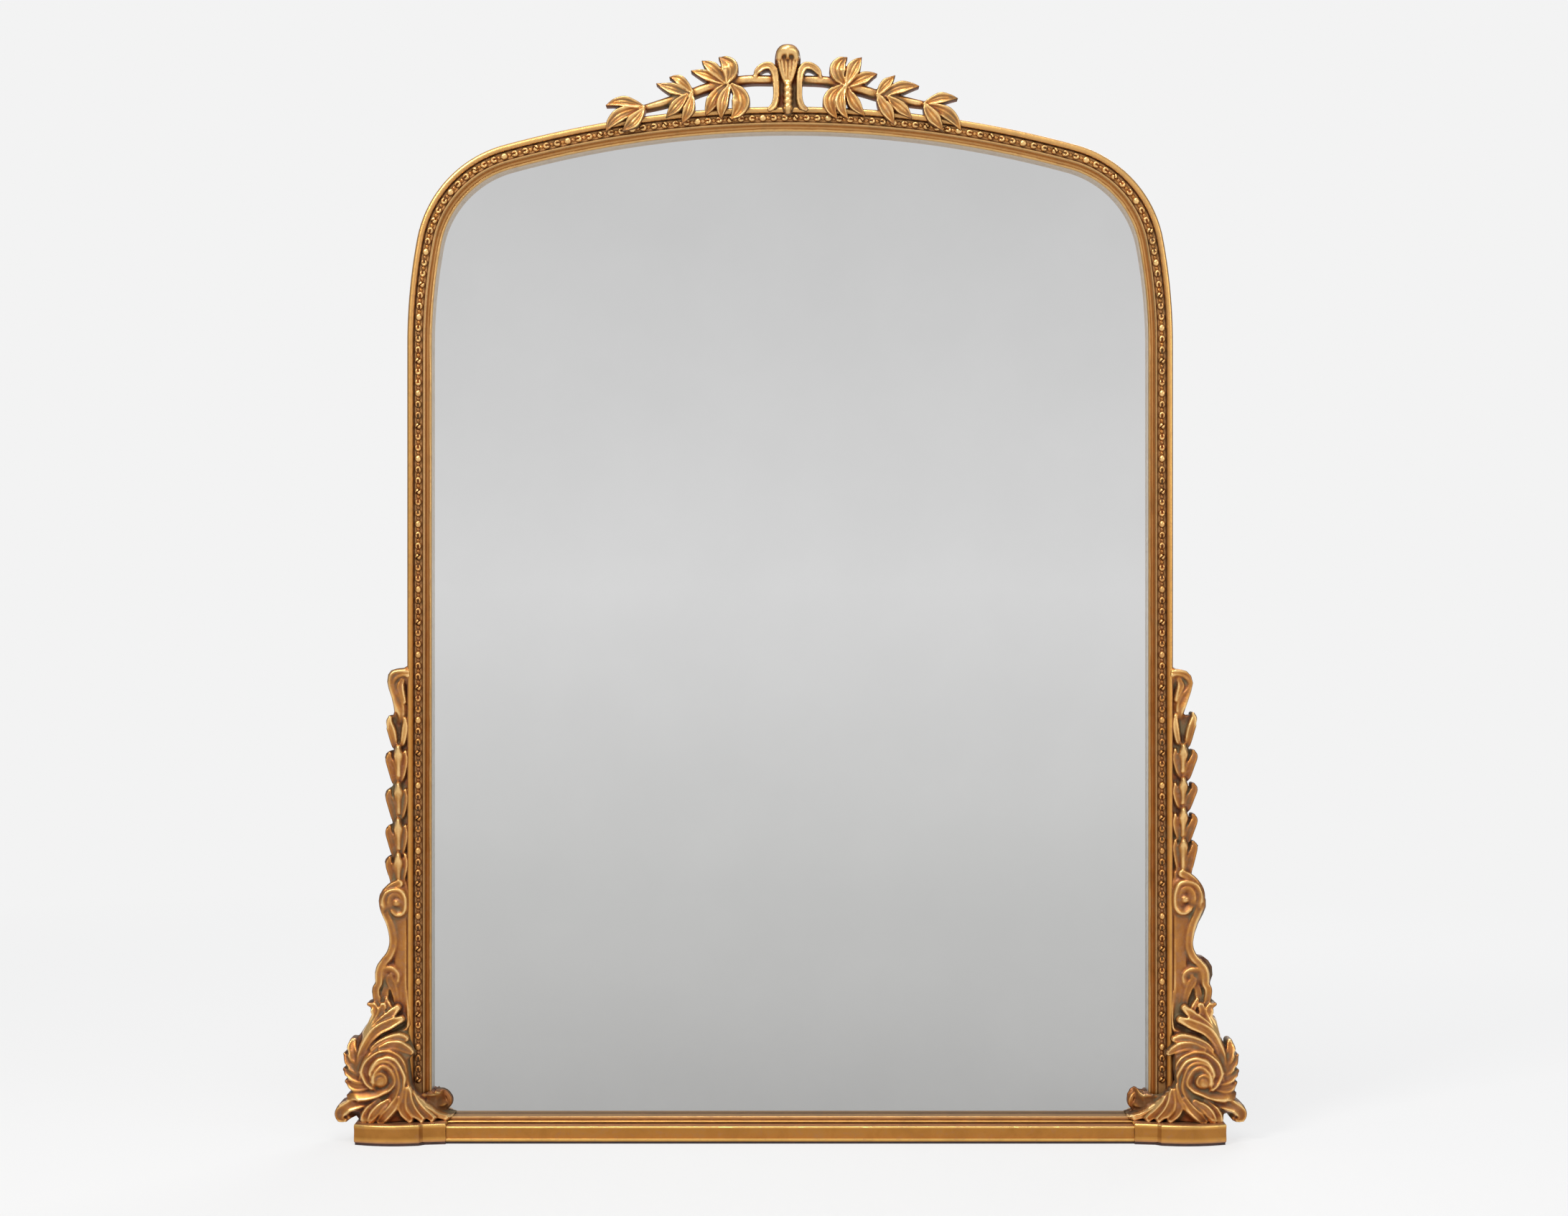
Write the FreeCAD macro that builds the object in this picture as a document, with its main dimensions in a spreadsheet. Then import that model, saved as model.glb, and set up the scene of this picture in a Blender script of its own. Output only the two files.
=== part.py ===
"""Trumeau mirror: an arched gilt frame on two plinths, with a pierced crest and carved sides.

Millimetres. X is to the right, the front faces -Y, Z is up. The origin is the middle of the base
pad's underside. The frame's flat back is the plane y = frame_back.
"""
import FreeCAD, Part
import Sketcher
import math
import os

from FreeCAD import Placement, Rotation, Vector

doc = FreeCAD.newDocument("trumeau_mirror")
sheet = doc.addObject("Spreadsheet::Sheet", "sizes")

# ---------------------------------------------------------------- driving dimensions
DRIVING = {
    # the opening, measured at the sight edge
    "sight_half": 300.2,
    "sight_top": 844.6,
    "sight_bottom": 20.0,
    "easing_radius": 458.0,
    "easing_turn": 10.6,
    "shoulder_radius": 81.0,
    "crown_radius": 888.0,
    # the frame moulding: places across it run outward from the sight edge, depths forward from its back
    "frame_back": 22.0,
    "frame_width": 19.6,
    "band_crest": 32.2,
    "band_bevel": 1.4,
    "band_inner": 14.3,
    "channel_inner": 6.9,
    "channel_depth": 28.0,
    "channel_lip_depth": 29.4,
    "hollow_outer": 5.0,
    "hollow_lip_depth": 27.6,
    "hollow_middle": 4.2,
    "hollow_inner": 2.3,
    "hollow_depth": 22.8,
    "sight_depth": 21.5,
    # the rebate and what it holds
    "rebate_width": 7.0,
    "glass_thickness": 4.0,
    "board_thickness": 6.0,
    "edge_play": 1.2,
    # bead courses
    "bead_pitch": 9.1,
    "bead_width": 5.8,
    "bead_height": 3.6,
    "bead_start": 29.4,
    # the base
    "pad_height": 2.0,
    "pad_inset": 1.0,
    "plinth_top": 17.2,
    "plinth_lap": 14.2,
    "plinth_overhang": 42.2,
    "plinth_step_offset": 2.8,
    "plinth_step_width": 4.5,
    "plinth_nose_depth": 47.0,
    "plinth_step_depth": 50.0,
    "plinth_face_depth": 55.0,
    "plinth_side_depth": 50.0,
    "plinth_bow_radius": 70.0,
    "rail_depth": 44.0,
    "rail_lip": 1.0,
    "rail_lip_height": 2.6,
    "rail_ledge": 14.3,
    "base_fillet_depth": 25.5,
    "astragal_depth": 27.5,
    "astragal_radius": 1.4,
    "edge_round": 0.5,
    # carvings: every number in their tables is in carving units
    "carving_unit": 1.0,
    "side_seat": 8.0,
    "crest_seat": 4.0,
    "fan_stand_off": 20.0,
    "curl_play": 0.8,
    "corner_height": 103.8,
    "console_height": 98.5,
    # dowels: the side ones above the foot of their carving, the crest ones from the middle
    "dowel_width": 3.0,
    "dowel_length": 12.0,
    "dowel_depth": 23.0,
    "corner_dowel": 42.8,
    "console_dowel": 44.0,
    "husk_dowel": 80.5,
    "palmette_dowel": 2.0,
    "left_spray_dowel": 43.0,
    "right_spray_dowel": 33.0,
    # hangers
    "hanger_below_spring": 25.7,
    "hanger_offset": 13.0,
    "strap_width": 8.0,
    "strap_length": 33.0,
    "strap_thickness": 1.2,
    "first_strap_screw": 17.0,
    "second_strap_screw": 27.0,
    "ring_wire": 2.5,
    "ring_inside": 10.0,
    "ring_drop": 10.0,
    "ring_bend": 2.0,
    "hinge_play": 0.3,
    # fasteners and bumpers
    "screw_shank": 2.6,
    "screw_length": 9.0,
    "screw_head": 5.6,
    "screw_head_height": 1.6,
    "thread_play": 0.05,
    "plate_play": 0.3,
    "clip_length": 20.0,
    "clip_width": 9.0,
    "clip_thickness": 1.2,
    "clip_screw_offset": 12.0,
    "clip_spread": 300.0,
    "low_clip": 170.0,
    "high_clip": 430.0,
    "bumper_width": 12.0,
    "bumper_height": 6.0,
    "low_bumper": 50.0,
    "bumper_below_hanger": 70.0,
}


def keep(alias, value):
    """Writes a named number to the next row of the sheet."""
    row = keep.row = keep.row + 1
    sheet.set("A%d" % row, alias)
    sheet.set("B%d" % row, str(value))
    sheet.setAlias("B%d" % row, alias)


keep.row = 0
for alias, value in DRIVING.items():
    keep(alias, value)
doc.recompute()


class Size:
    """A number that remembers the sheet expression it came from, so that sums of sizes stay bound."""

    def __init__(self, value, text):
        self.value = float(value)
        self.text = text

    def __float__(self):
        return self.value

    def joined(self, other, sign, result):
        text = other.text if isinstance(other, Size) else repr(float(other))
        return Size(result, "(%s %s %s)" % (self.text, sign, text))

    def __add__(self, other):
        return self.joined(other, "+", self.value + float(other))

    def __sub__(self, other):
        return self.joined(other, "-", self.value - float(other))

    def __mul__(self, other):
        return self.joined(other, "*", self.value * float(other))

    def __truediv__(self, other):
        return self.joined(other, "/", self.value / float(other))

    def __radd__(self, other):
        return Size(other, repr(float(other))) + self

    def __rsub__(self, other):
        return Size(other, repr(float(other))) - self

    def __rmul__(self, other):
        return Size(other, repr(float(other))) * self

    def __neg__(self):
        return 0.0 - self


def size(alias):
    return Size(sheet.get(alias), "sizes." + alias)


def derived(alias, value):
    """Keeps a worked-out number in the sheet too, so that features can be bound to it."""
    keep(alias, value)
    doc.recompute()
    return size(alias)


def bind(obj, path, value):
    """Binds a property to the value's expression."""
    obj.setExpression(path, value.text)


# ---------------------------------------------------------------- sketches and bodies
def new_body(label):
    body = doc.addObject("PartDesign::Body", label)
    body.Label = label
    return body


def new_sketch(body, name, plane):
    sketch = body.newObject("Sketcher::SketchObject", body.Label + "_" + name)
    origin_plane = next(f for f in body.Origin.OriginFeatures if f.Role == plane)
    sketch.AttachmentSupport = [(origin_plane, "")]
    sketch.MapMode = "FlatFace"
    return sketch


def pin(sketch, edge, end, x, y):
    """Holds one end of an edge at x, y, both bound to their expressions."""
    for kind, value in (("DistanceX", x), ("DistanceY", y)):
        number = sketch.addConstraint(Sketcher.Constraint(kind, -1, 1, edge, end, float(value)))
        if isinstance(value, Size):
            sketch.setExpression("Constraints[%d]" % number, value.text)


def arc_between(start, end, radius, left):
    """The short arc from start to end whose centre lies on the left or right of the chord."""
    (x0, y0), (x1, y1) = start, end
    half = math.hypot(x1 - x0, y1 - y0) / 2
    reach = math.sqrt(max(radius**2 - half**2, 0.0))
    side = 1 if left else -1
    nx, ny = -(y1 - y0) / (2 * half), (x1 - x0) / (2 * half)
    cx, cy = (x0 + x1) / 2 + side * nx * reach, (y0 + y1) / 2 + side * ny * reach
    a0, a1 = math.atan2(y0 - cy, x0 - cx), math.atan2(y1 - cy, x1 - cx)
    circle = Part.Circle(Vector(cx, cy, 0), Vector(0, 0, 1), radius)
    return Part.ArcOfCircle(circle, a0, a1) if left else Part.ArcOfCircle(circle, a1, a0)


def outline(sketch, points):
    """A closed outline through points. A point is (x, y) or (x, y, radius, centre side), which makes
    the edge that leaves it an arc. Every point is pinned to its own expressions."""
    count = len(points)
    for i, point in enumerate(points):
        start = (float(point[0]), float(point[1]))
        following = points[(i + 1) % count]
        end = (float(following[0]), float(following[1]))
        if len(point) == 2:
            edge = sketch.addGeometry(Part.LineSegment(Vector(*start, 0), Vector(*end, 0)))
            pin(sketch, edge, 1, point[0], point[1])
            pin(sketch, edge, 2, following[0], following[1])
            continue
        left = point[3] == "left"
        edge = sketch.addGeometry(arc_between(start, end, float(point[2]), left))
        pin(sketch, edge, 1 if left else 2, point[0], point[1])
        pin(sketch, edge, 2 if left else 1, following[0], following[1])
        number = sketch.addConstraint(Sketcher.Constraint("Radius", edge, float(point[2])))
        if isinstance(point[2], Size):
            sketch.setExpression("Constraints[%d]" % number, point[2].text)


def pad(body, sketch, length, midplane=False):
    feature = body.newObject("PartDesign::Pad", sketch.Label + "_pad")
    feature.Profile = sketch
    feature.Midplane = midplane
    bind(feature, "Length", length)
    body.Tip = feature
    return feature


def place(obj, x, y, z, axis=Vector(0, 1, 0), angle=0.0):
    """Puts an object at x, y, z, turned about axis, with the bound parts bound."""
    obj.Placement = Placement(Vector(float(x), float(y), float(z)), Rotation(axis, float(angle)))
    for path, value in (("x", x), ("y", y), ("z", z)):
        if isinstance(value, Size):
            obj.setExpression("Placement.Base." + path, value.text)


def feature(label, shape):
    """A sub-part whose shape the code works out."""
    obj = doc.addObject("Part::Feature", label)
    obj.Label = label
    obj.Shape = shape
    return obj


def cut(label, base, tools):
    """A sub-part made of base with each tool taken away."""
    group = doc.addObject("Part::Compound", label + "_tools")
    group.Links = tools
    result = doc.addObject("Part::Cut", label)
    result.Label = label
    result.Base = base
    result.Tool = group
    return result


def box_tool(label, x, y, z):
    """A cutting box; x, y and z are its (low, high) limits."""
    tool = doc.addObject("Part::Box", label)
    for name, (low, high) in (("Length", x), ("Width", y), ("Height", z)):
        bind(tool, name, high - low)
    place(tool, x[0], y[0], z[0])
    return tool


def drill_tool(label, start, direction, length, width):
    """A cutting bar with eight flat sides from start along direction."""
    tool = doc.addObject("Part::Prism", label)
    tool.Polygon = 8
    bind(tool, "Circumradius", width / 2)
    bind(tool, "Height", length)
    turn = Rotation(Vector(0, 0, 1), Vector(*direction))
    place(tool, *start, turn.Axis, math.degrees(turn.Angle))
    return tool


def facets(*corners):
    """The flat faces over a ring of corners; four that aren't in one plane make two."""
    if len(corners) == 4:
        a, b, c, d = corners
        if abs((b - a).cross(c - a).dot(d - a)) > 1e-7:
            return facets(a, b, c) + facets(a, c, d)
    return [Part.Face(Part.makePolygon([*corners, corners[0]]))]


def solid_of(faces):
    """The solid inside a closed set of faces."""
    solid = Part.Solid(Part.Shell(faces))
    return solid if solid.Volume > 0 else solid.reversed()


def rod(start, direction, length, wide, sides=8):
    """A bar with flat sides, for small fasteners that would otherwise need many facets."""
    spin = Rotation(Vector(0, 0, 1), Vector(*direction))
    turns = [2 * math.pi * k / sides for k in range(sides)]
    ring = [Vector(*start) + spin.multVec(Vector(math.cos(a), math.sin(a), 0) * (wide / 2)) for a in turns]
    return Part.Face(Part.makePolygon(ring + ring[:1])).extrude(spin.multVec(Vector(0, 0, length)))


# ---------------------------------------------------------------- the path of the sight edge
half, crest_z = size("sight_half"), size("sight_top")
EASING, SHOULDER, CROWN = (float(size(n + "_radius")) for n in ("easing", "shoulder", "crown"))
EASING_TURN = math.radians(float(size("easing_turn")))
SPRING_TURN = math.acos(
    (float(half) - EASING + (EASING - SHOULDER) * math.cos(EASING_TURN)) / (CROWN - SHOULDER)
)
spring_height = derived(
    "spring_height",
    float(crest_z) - CROWN - (EASING - SHOULDER) * math.sin(EASING_TURN)
    + (CROWN - SHOULDER) * math.sin(SPRING_TURN),
)
crown_centre = crest_z - size("crown_radius")

back = size("frame_back")
width = size("frame_width")
rebate_depth = size("glass_thickness") + size("board_thickness")
glass_front = back - rebate_depth
outer_edge = half + width
band_crest = size("band_crest")
frame_front = back - band_crest


# ---------------------------------------------------------------- frame rails
def moulding_profile(body):
    """The section of the frame: X outward from the sight edge, front towards -Y."""
    sketch = new_sketch(body, "profile", "XY_Plane")

    def at(across, depth):
        return (across, back - depth)

    bevel = size("band_bevel")
    outline(sketch, [
        at(size("rebate_width"), 0.0),
        at(width, 0.0),
        at(width, band_crest - bevel),
        at(width - bevel, band_crest),
        at(size("band_inner") + bevel, band_crest),
        at(size("band_inner"), band_crest - bevel),
        at(size("band_inner"), size("channel_depth")),
        at(size("channel_inner"), size("channel_depth")),
        at(size("channel_inner"), size("channel_lip_depth")),
        at(size("hollow_outer"), size("hollow_lip_depth")),
        at(size("hollow_middle"), size("hollow_depth")),
        at(size("hollow_inner"), size("hollow_depth")),
        at(0.0, size("sight_depth")),
        at(0.0, rebate_depth),
        at(size("rebate_width"), rebate_depth),
    ])
    return sketch


def straight_rail(label, length):
    body = new_body(label)
    pad(body, moulding_profile(body), length)
    return body


def bent_rail(label, bends):
    """The moulding swept along bends, each (radius, turn in radians), that all lean to the left."""
    body = new_body(label)
    profile = moulding_profile(body)
    path = new_sketch(body, "path", "XZ_Plane")
    cx, cz, start = -bends[0][0], 0.0, 0.0
    previous = bends[0][0]
    for radius, turn in bends:
        cx += (previous - radius) * math.cos(start)
        cz += (previous - radius) * math.sin(start)
        circle = Part.Circle(Vector(cx, cz, 0), Vector(0, 0, 1), radius)
        path.addGeometry(Part.ArcOfCircle(circle, start, start + turn))
        start += turn
        previous = radius
    sweep = body.newObject("PartDesign::AdditivePipe", label + "_sweep")
    sweep.Profile = profile
    sweep.Spine = (path, ["Edge%d" % (i + 1) for i in range(len(bends))])
    body.Tip = sweep
    return body


stile_foot = size("plinth_top")
stile_length = spring_height - stile_foot
ARCH_BENDS = [
    (EASING, EASING_TURN),
    (SHOULDER, SPRING_TURN - EASING_TURN),
    (CROWN, math.pi - 2 * SPRING_TURN),
    (SHOULDER, SPRING_TURN - EASING_TURN),
    (EASING, EASING_TURN),
]
FRONT_AXIS = Vector(0, -1, 0)

right_stile = straight_rail("right_stile_blank", stile_length)
place(right_stile, half, 0.0, stile_foot)
left_stile = straight_rail("left_stile_blank", stile_length)
place(left_stile, -half, 0.0, spring_height, FRONT_AXIS, 180)
arch = bent_rail("arched_rail_blank", ARCH_BENDS)
place(arch, half, 0.0, spring_height)

# ---------------------------------------------------------------- base
pad_top = size("pad_height")
plinth_top = size("plinth_top")
plinth_inner = half - size("plinth_lap")
plinth_outer = outer_edge + size("plinth_overhang")
step, step_width = half + size("plinth_step_offset"), size("plinth_step_width")
rail_front = back - size("rail_depth")
rebate_floor = size("sight_bottom") - size("rebate_width")


def plinth_front(inset):
    """The front of the right plinth's plan, from its outer corner to its inner one."""
    return [
        (plinth_outer - inset, back - size("plinth_side_depth") + inset, size("plinth_bow_radius"), "right"),
        (step + step_width, back - size("plinth_face_depth") + inset),
        (step, back - size("plinth_step_depth") + inset),
        (plinth_inner, back - size("plinth_nose_depth") + inset),
    ]


def mirrored(points):
    """The same points for the left side, in the opposite order; an arc then leaves its other end."""
    flipped = []
    for i in range(len(points) - 1, -1, -1):
        arc = points[i - 1][2:] if i else ()
        flipped.append((-points[i][0], points[i][1], *arc))
    return flipped


base_rail_body = new_body("base_rail_blank")
base_profile = new_sketch(base_rail_body, "profile", "YZ_Plane")
fillet_front = back - size("base_fillet_depth")
astragal_back = back - size("astragal_depth")
astragal_top = size("rail_ledge") + 2 * size("astragal_radius")
outline(base_profile, [
    (back, pad_top),
    (back, rebate_floor),
    (glass_front, rebate_floor),
    (glass_front, size("sight_bottom")),
    (back - size("sight_depth"), size("sight_bottom")),
    (fillet_front, size("sight_bottom") - size("edge_round")),
    (fillet_front, astragal_top + size("edge_round")),
    (astragal_back, astragal_top, size("astragal_radius") + size("edge_round") / 10, "left"),
    (astragal_back, size("rail_ledge")),
    (rail_front + size("edge_round"), size("rail_ledge")),
    (rail_front, size("rail_ledge") - size("edge_round")),
    (rail_front, pad_top + size("rail_lip_height")),
    (rail_front - size("rail_lip"), pad_top + size("rail_lip_height")),
    (rail_front - size("rail_lip"), pad_top),
])
pad(base_rail_body, base_profile, 2 * half, midplane=True)

pad_inset = size("pad_inset")
base_pad = new_body("base_pad")
pad_plan = new_sketch(base_pad, "plan", "XY_Plane")
right_front = plinth_front(pad_inset) + [(plinth_inner, rail_front + pad_inset)]
outline(pad_plan, [
    (-plinth_outer + pad_inset, back - pad_inset),
    (plinth_outer - pad_inset, back - pad_inset),
    *right_front,
    *mirrored(right_front),
])
pad(base_pad, pad_plan, pad_top)

plinth_blanks = []
for side, sign in (("left", -1), ("right", 1)):
    body = new_body(side + "_plinth_blank")
    plan = new_sketch(body, "plan", "XY_Plane")
    corners = [(plinth_inner, back), (plinth_outer, back), *plinth_front(0.0)]
    outline(plan, corners if sign > 0 else mirrored(corners))
    pad(body, plan, plinth_top - pad_top)
    place(body, 0.0, 0.0, pad_top)
    plinth_blanks.append(body)

# ---------------------------------------------------------------- glass and backing
edge_play = size("edge_play")
EDGE_OUT = float(size("rebate_width") - edge_play)


def opening_outline(sketch):
    """The sight outline grown by the part of the rebate that glass and board fill."""
    across, low = half + (size("rebate_width") - edge_play), rebate_floor + edge_play
    ease_x = float(half) - EASING + (EASING + EDGE_OUT) * math.cos(EASING_TURN)
    ease_z = float(spring_height) + (EASING + EDGE_OUT) * math.sin(EASING_TURN)
    foot_x = (CROWN + EDGE_OUT) * math.cos(SPRING_TURN)
    foot_z = float(crown_centre) + (CROWN + EDGE_OUT) * math.sin(SPRING_TURN)
    outline(sketch, [
        (-across, low),
        (across, low),
        (across, spring_height, EASING + EDGE_OUT, "left"),
        (ease_x, ease_z, SHOULDER + EDGE_OUT, "left"),
        (foot_x, foot_z, CROWN + EDGE_OUT, "left"),
        (-foot_x, foot_z, SHOULDER + EDGE_OUT, "left"),
        (-ease_x, ease_z, EASING + EDGE_OUT, "left"),
        (-across, spring_height),
    ])


for label, thickness, rear in (
    ("mirror_glass", size("glass_thickness"), back - size("board_thickness")),
    ("backing_board", size("board_thickness"), back),
):
    body = new_body(label)
    sketch = new_sketch(body, "outline", "XZ_Plane")
    opening_outline(sketch)
    pad(body, sketch, thickness)
    place(body, 0.0, rear, 0.0)


# ---------------------------------------------------------------- bead courses
bead_offset = size("channel_inner") + (size("band_inner") - size("channel_inner")) / 2
BEAD_Y = float(back - size("channel_depth"))
BEAD_SIDES = 6


def bead_template():
    """One bead, simplified to a six-sided stud that stands on the channel floor."""
    radius = float(size("bead_width")) / 2
    turns = [2 * math.pi * k / BEAD_SIDES for k in range(BEAD_SIDES)]
    foot = [Vector(radius * math.cos(a), BEAD_Y, radius * math.sin(a)) for a in turns]
    top = Vector(0, BEAD_Y - float(size("bead_height")), 0)
    faces = facets(*foot)
    for k in range(BEAD_SIDES):
        faces += facets(foot[k], foot[(k + 1) % BEAD_SIDES], top)
    return solid_of(faces)


BEAD = bead_template()


def bead_at(x, z):
    bead = BEAD.copy()
    bead.translate(Vector(x, 0, z))
    return bead


def bead_course(label, run, spot):
    """Beads spread evenly over a run; spot gives x, z at a length along it."""
    count = int(run // float(size("bead_pitch")))
    gap = run / count
    feature(label, Part.makeCompound([bead_at(*spot((i + 0.5) * gap)) for i in range(count)]))


STRAIGHT_START = float(stile_foot + size("bead_start"))
STRAIGHT_RUN = float(spring_height) - STRAIGHT_START
EASE_X, EASE_Z = float(half) - EASING, float(spring_height)
SHOULDER_X = EASE_X + (EASING - SHOULDER) * math.cos(EASING_TURN)
SHOULDER_Z = EASE_Z + (EASING - SHOULDER) * math.sin(EASING_TURN)
OFFSET = float(bead_offset)
EASE_RUN = (EASING + OFFSET) * EASING_TURN
SHOULDER_RUN = (SHOULDER + OFFSET) * (SPRING_TURN - EASING_TURN)
CROWN_RUN = (CROWN + OFFSET) * (math.pi - 2 * SPRING_TURN)
ARCH_RUN = 2 * (EASE_RUN + SHOULDER_RUN) + CROWN_RUN


def on_arch(length):
    """The bead line's place at a length past the right spring."""
    if length > ARCH_RUN / 2:
        x, z = on_arch(ARCH_RUN - length)
        return -x, z
    stretches = (
        (EASE_X, EASE_Z, EASING, 0.0, EASE_RUN),
        (SHOULDER_X, SHOULDER_Z, SHOULDER, EASING_TURN, SHOULDER_RUN),
        (0.0, float(crown_centre), CROWN, SPRING_TURN, CROWN_RUN),
    )
    for cx, cz, radius, start, run in stretches:
        if length <= run:
            angle = start + length / (radius + OFFSET)
            return cx + (radius + OFFSET) * math.cos(angle), cz + (radius + OFFSET) * math.sin(angle)
        length -= run


for side, sign in (("left", -1), ("right", 1)):
    stile_x = sign * (float(half) + OFFSET)
    bead_course(side + "_stile_beads", STRAIGHT_RUN, lambda s, x=stile_x: (x, STRAIGHT_START + s))
bead_course("arch_beads", ARCH_RUN, on_arch)


# ---------------------------------------------------------------- carving
def lobe(knots, seat, edge, middle):
    """A carved lobe: a strip along knots (x, z, half width), from its root to its tip. It stands on
    the plane y = seat, its edges reach y = edge and its middle y = middle."""
    sections = []
    for i, (x, z, reach) in enumerate(knots):
        ax, az, _ = knots[max(i - 1, 0)]
        bx, bz, _ = knots[min(i + 1, len(knots) - 1)]
        run = math.hypot(bx - ax, bz - az)
        nx, nz = -(bz - az) / run * reach, (bx - ax) / run * reach
        sections.append((
            Vector(x + nx, seat, z + nz),
            Vector(x + nx, edge, z + nz),
            Vector(x, middle, z),
            Vector(x - nx, edge, z - nz),
            Vector(x - nx, seat, z - nz),
        ))
    faces = []
    for p, q in zip(sections, sections[1:]):
        for k in range(5):
            faces += facets(p[k], q[k], q[(k + 1) % 5], p[(k + 1) % 5])
    faces += facets(*sections[0]) + facets(*sections[-1])
    return solid_of(faces)


def boss(x, z, radius, seat, front):
    """An eight-sided button, as in the eye of a volute."""
    return rod((x, seat, z), (0, -1, 0), seat - front, 2 * radius)


def carved(lobes, seat):
    """Lobes (edge, middle, knots) fused into one solid."""
    parts = [lobe(knots, seat, edge, middle) for edge, middle, knots in lobes]
    return parts[0].fuse(parts[1:]).removeSplitter()


def block(x, y, z):
    """A box from its limits, for cutting carvings to their seats."""
    return Part.makeBox(x[1] - x[0], y[1] - y[0], z[1] - z[0], Vector(x[0], y[0], z[0]))


REACH = 1000.0

CORNER_LOBES = [
    # the volute's rings, from the eye outward
    (-27, -30, [
        (-346, 57, 1.6), (-341, 66, 2.3), (-331, 62.5, 2.8),
        (-328, 51, 3.4), (-339, 41, 4.5), (-359, 37.5, 1.8),
    ]),
    (-25, -28, [
        (-350, 55, 2), (-344, 71, 2.6), (-329, 71, 3.2),
        (-321, 54, 3.8), (-324.5, 37, 4.6), (-341, 21.5, 3.2),
    ]),
    (-22, -25, [
        (-352.5, 62, 2.4), (-341, 77, 2.8), (-325, 75, 3),
        (-315, 56, 3.6), (-308, 35, 4.4), (-299.5, 21.5, 2.6),
    ]),
    (-20, -23, [(-343, 44, 2), (-355, 53, 3.2), (-354, 72, 3.6), (-340, 86.5, 3.6), (-319, 87.5, 2)]),
    (-19, -21, [(-346, 77, 2.6), (-329, 84.5, 3.2), (-313, 76, 1.4)]),
    # leaves that climb from the ring to the console
    (-16, -19, [(-357, 66, 3), (-351, 84, 3.4), (-337, 98, 3.6), (-322, 104.5, 2)]),
    (-15, -18, [(-355, 80, 3), (-342, 98.5, 3.6), (-325.5, 117, 1.8)]),
    (-14, -17, [(-356, 84, 3), (-346, 104, 3.6), (-336.5, 119.5, 1.6)]),
    (-13, -16, [(-355, 91, 3), (-347.5, 108, 3.2), (-347.5, 117.5, 2.4)]),
    # side lobes
    (-18, -20, [(-350, 50, 4), (-369, 51.5, 1.8)]),
    (-17, -19, [(-353, 59, 4.2), (-370.5, 61.5, 1.8)]),
    (-16, -18, [(-355, 66, 4.4), (-371, 73.5, 1.8)]),
    (-15, -17, [(-356, 74, 4.6), (-365, 84.5, 3)]),
    # the low curl and the lobe over it
    (-15, -18, [(-344, 33, 4), (-362, 31.5, 5.4), (-375.5, 25.5, 6.9), (-371.5, 18.5, 2.6)]),
    (-12, -14, [(-352, 40, 3.4), (-368, 39, 2)]),
    # foot fan
    (-24, -27, [(-335, 38, 4), (-350, 23, 2.4)]),
    (-26, -29, [(-321, 42, 4.2), (-331, 22, 3.2)]),
    (-23, -26, [(-317, 46, 4), (-309.5, 21.5, 3)]),
    (-20, -23, [(-311, 40, 4.2), (-289, 22.8, 2.6)]),
    # the root of the leaf that curls over the glass
    (-15, -18, [(-310, 37, 5), (-299, 37, 5)]),
    # the ground behind
    (-9, -9, [(-336, 16, 20), (-337, 70, 17), (-332, 96, 13.5), (-332, 121, 13)]),
]
CORNER_EYE = (-340.5, 54.0, 5.5, -28.0)
CURL_LOBES = [
    # the leaf's bend over the sight edge, its blade close to the glass and its rolled end
    (-12, -15, [(-303, 37, 5), (-297.5, 37, 5)]),
    (-1, -4, [(-300, 36, 5.4), (-293, 36, 5.4), (-286.5, 35, 3)]),
    (-2, -5, [(-295, 40, 2.4), (-287, 38.5, 2.8), (-287.5, 30, 2.4), (-285.5, 25.5, 2)]),
]

CONSOLE_LOBES = [
    # the side band, the lower scroll and its drop, the small volute, the shoulder, the panel, the inner edge
    (-9, -12, [(-339, 204, 2.6), (-336, 184, 2.6), (-332, 168, 2.6), (-341, 146, 3), (-344.5, 121, 3)]),
    (-10, -12, [(-342, 133, 2), (-338.5, 143.5, 2.2), (-329, 144.5, 2.2), (-326, 136, 1.6)]),
    (-8, -10, [(-331.5, 141, 2.4), (-328, 121, 1.5)]),
    (-11, -14, [(-339, 207, 2), (-330, 211.5, 2.4), (-321.5, 203, 2.4), (-326, 192.5, 2), (-332, 196, 1.6)]),
    (-8, -10, [(-336.5, 211, 3.5), (-325, 219, 3)]),
    (-6, -6, [(-325.5, 219.5, 6), (-325.5, 158, 6.5), (-331, 121, 12)]),
    (-8, -8, [(-319.6, 212, 1.3), (-319.6, 121, 1.3)]),
]
CONSOLE_EYE = (-326.5, 201.0, 3.2, -13.0)

HUSK_TOPS = (241.5, 270.0, 300.0, 331.0)
HUSK_X = -325.5
HUSK_PETALS = [
    # about the husk's top at x = 0, z = 0: the outer petal, the inner petal, the middle petal
    (-8, -10, [(-2, -13, 1.8), (-6.4, 5, 2.6), (-9.2, 20.5, 2.2)]),
    (-8, -10, [(3, -9, 1.8), (6, 9, 2.4), (7, 22, 1.4)]),
    (-10, -13, [(0, -28, 2), (0, -8, 4.2), (0, -0.5, 2)]),
]
HUSK_GROUND = (-6, -6, [(-324.5, 219.5, 4.8), (-324.5, 330, 4.8), (-324.5, 392, 6)])
TOP_SCROLL = [
    (-10, -13, [(-328.5, 357, 2.4), (-330.5, 372, 2.8), (-330.5, 387, 3), (-320.5, 393, 3)]),
    (-9, -11, [(-320, 366, 1.6), (-325, 380, 2), (-321.5, 386, 1.4)]),
]

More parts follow.
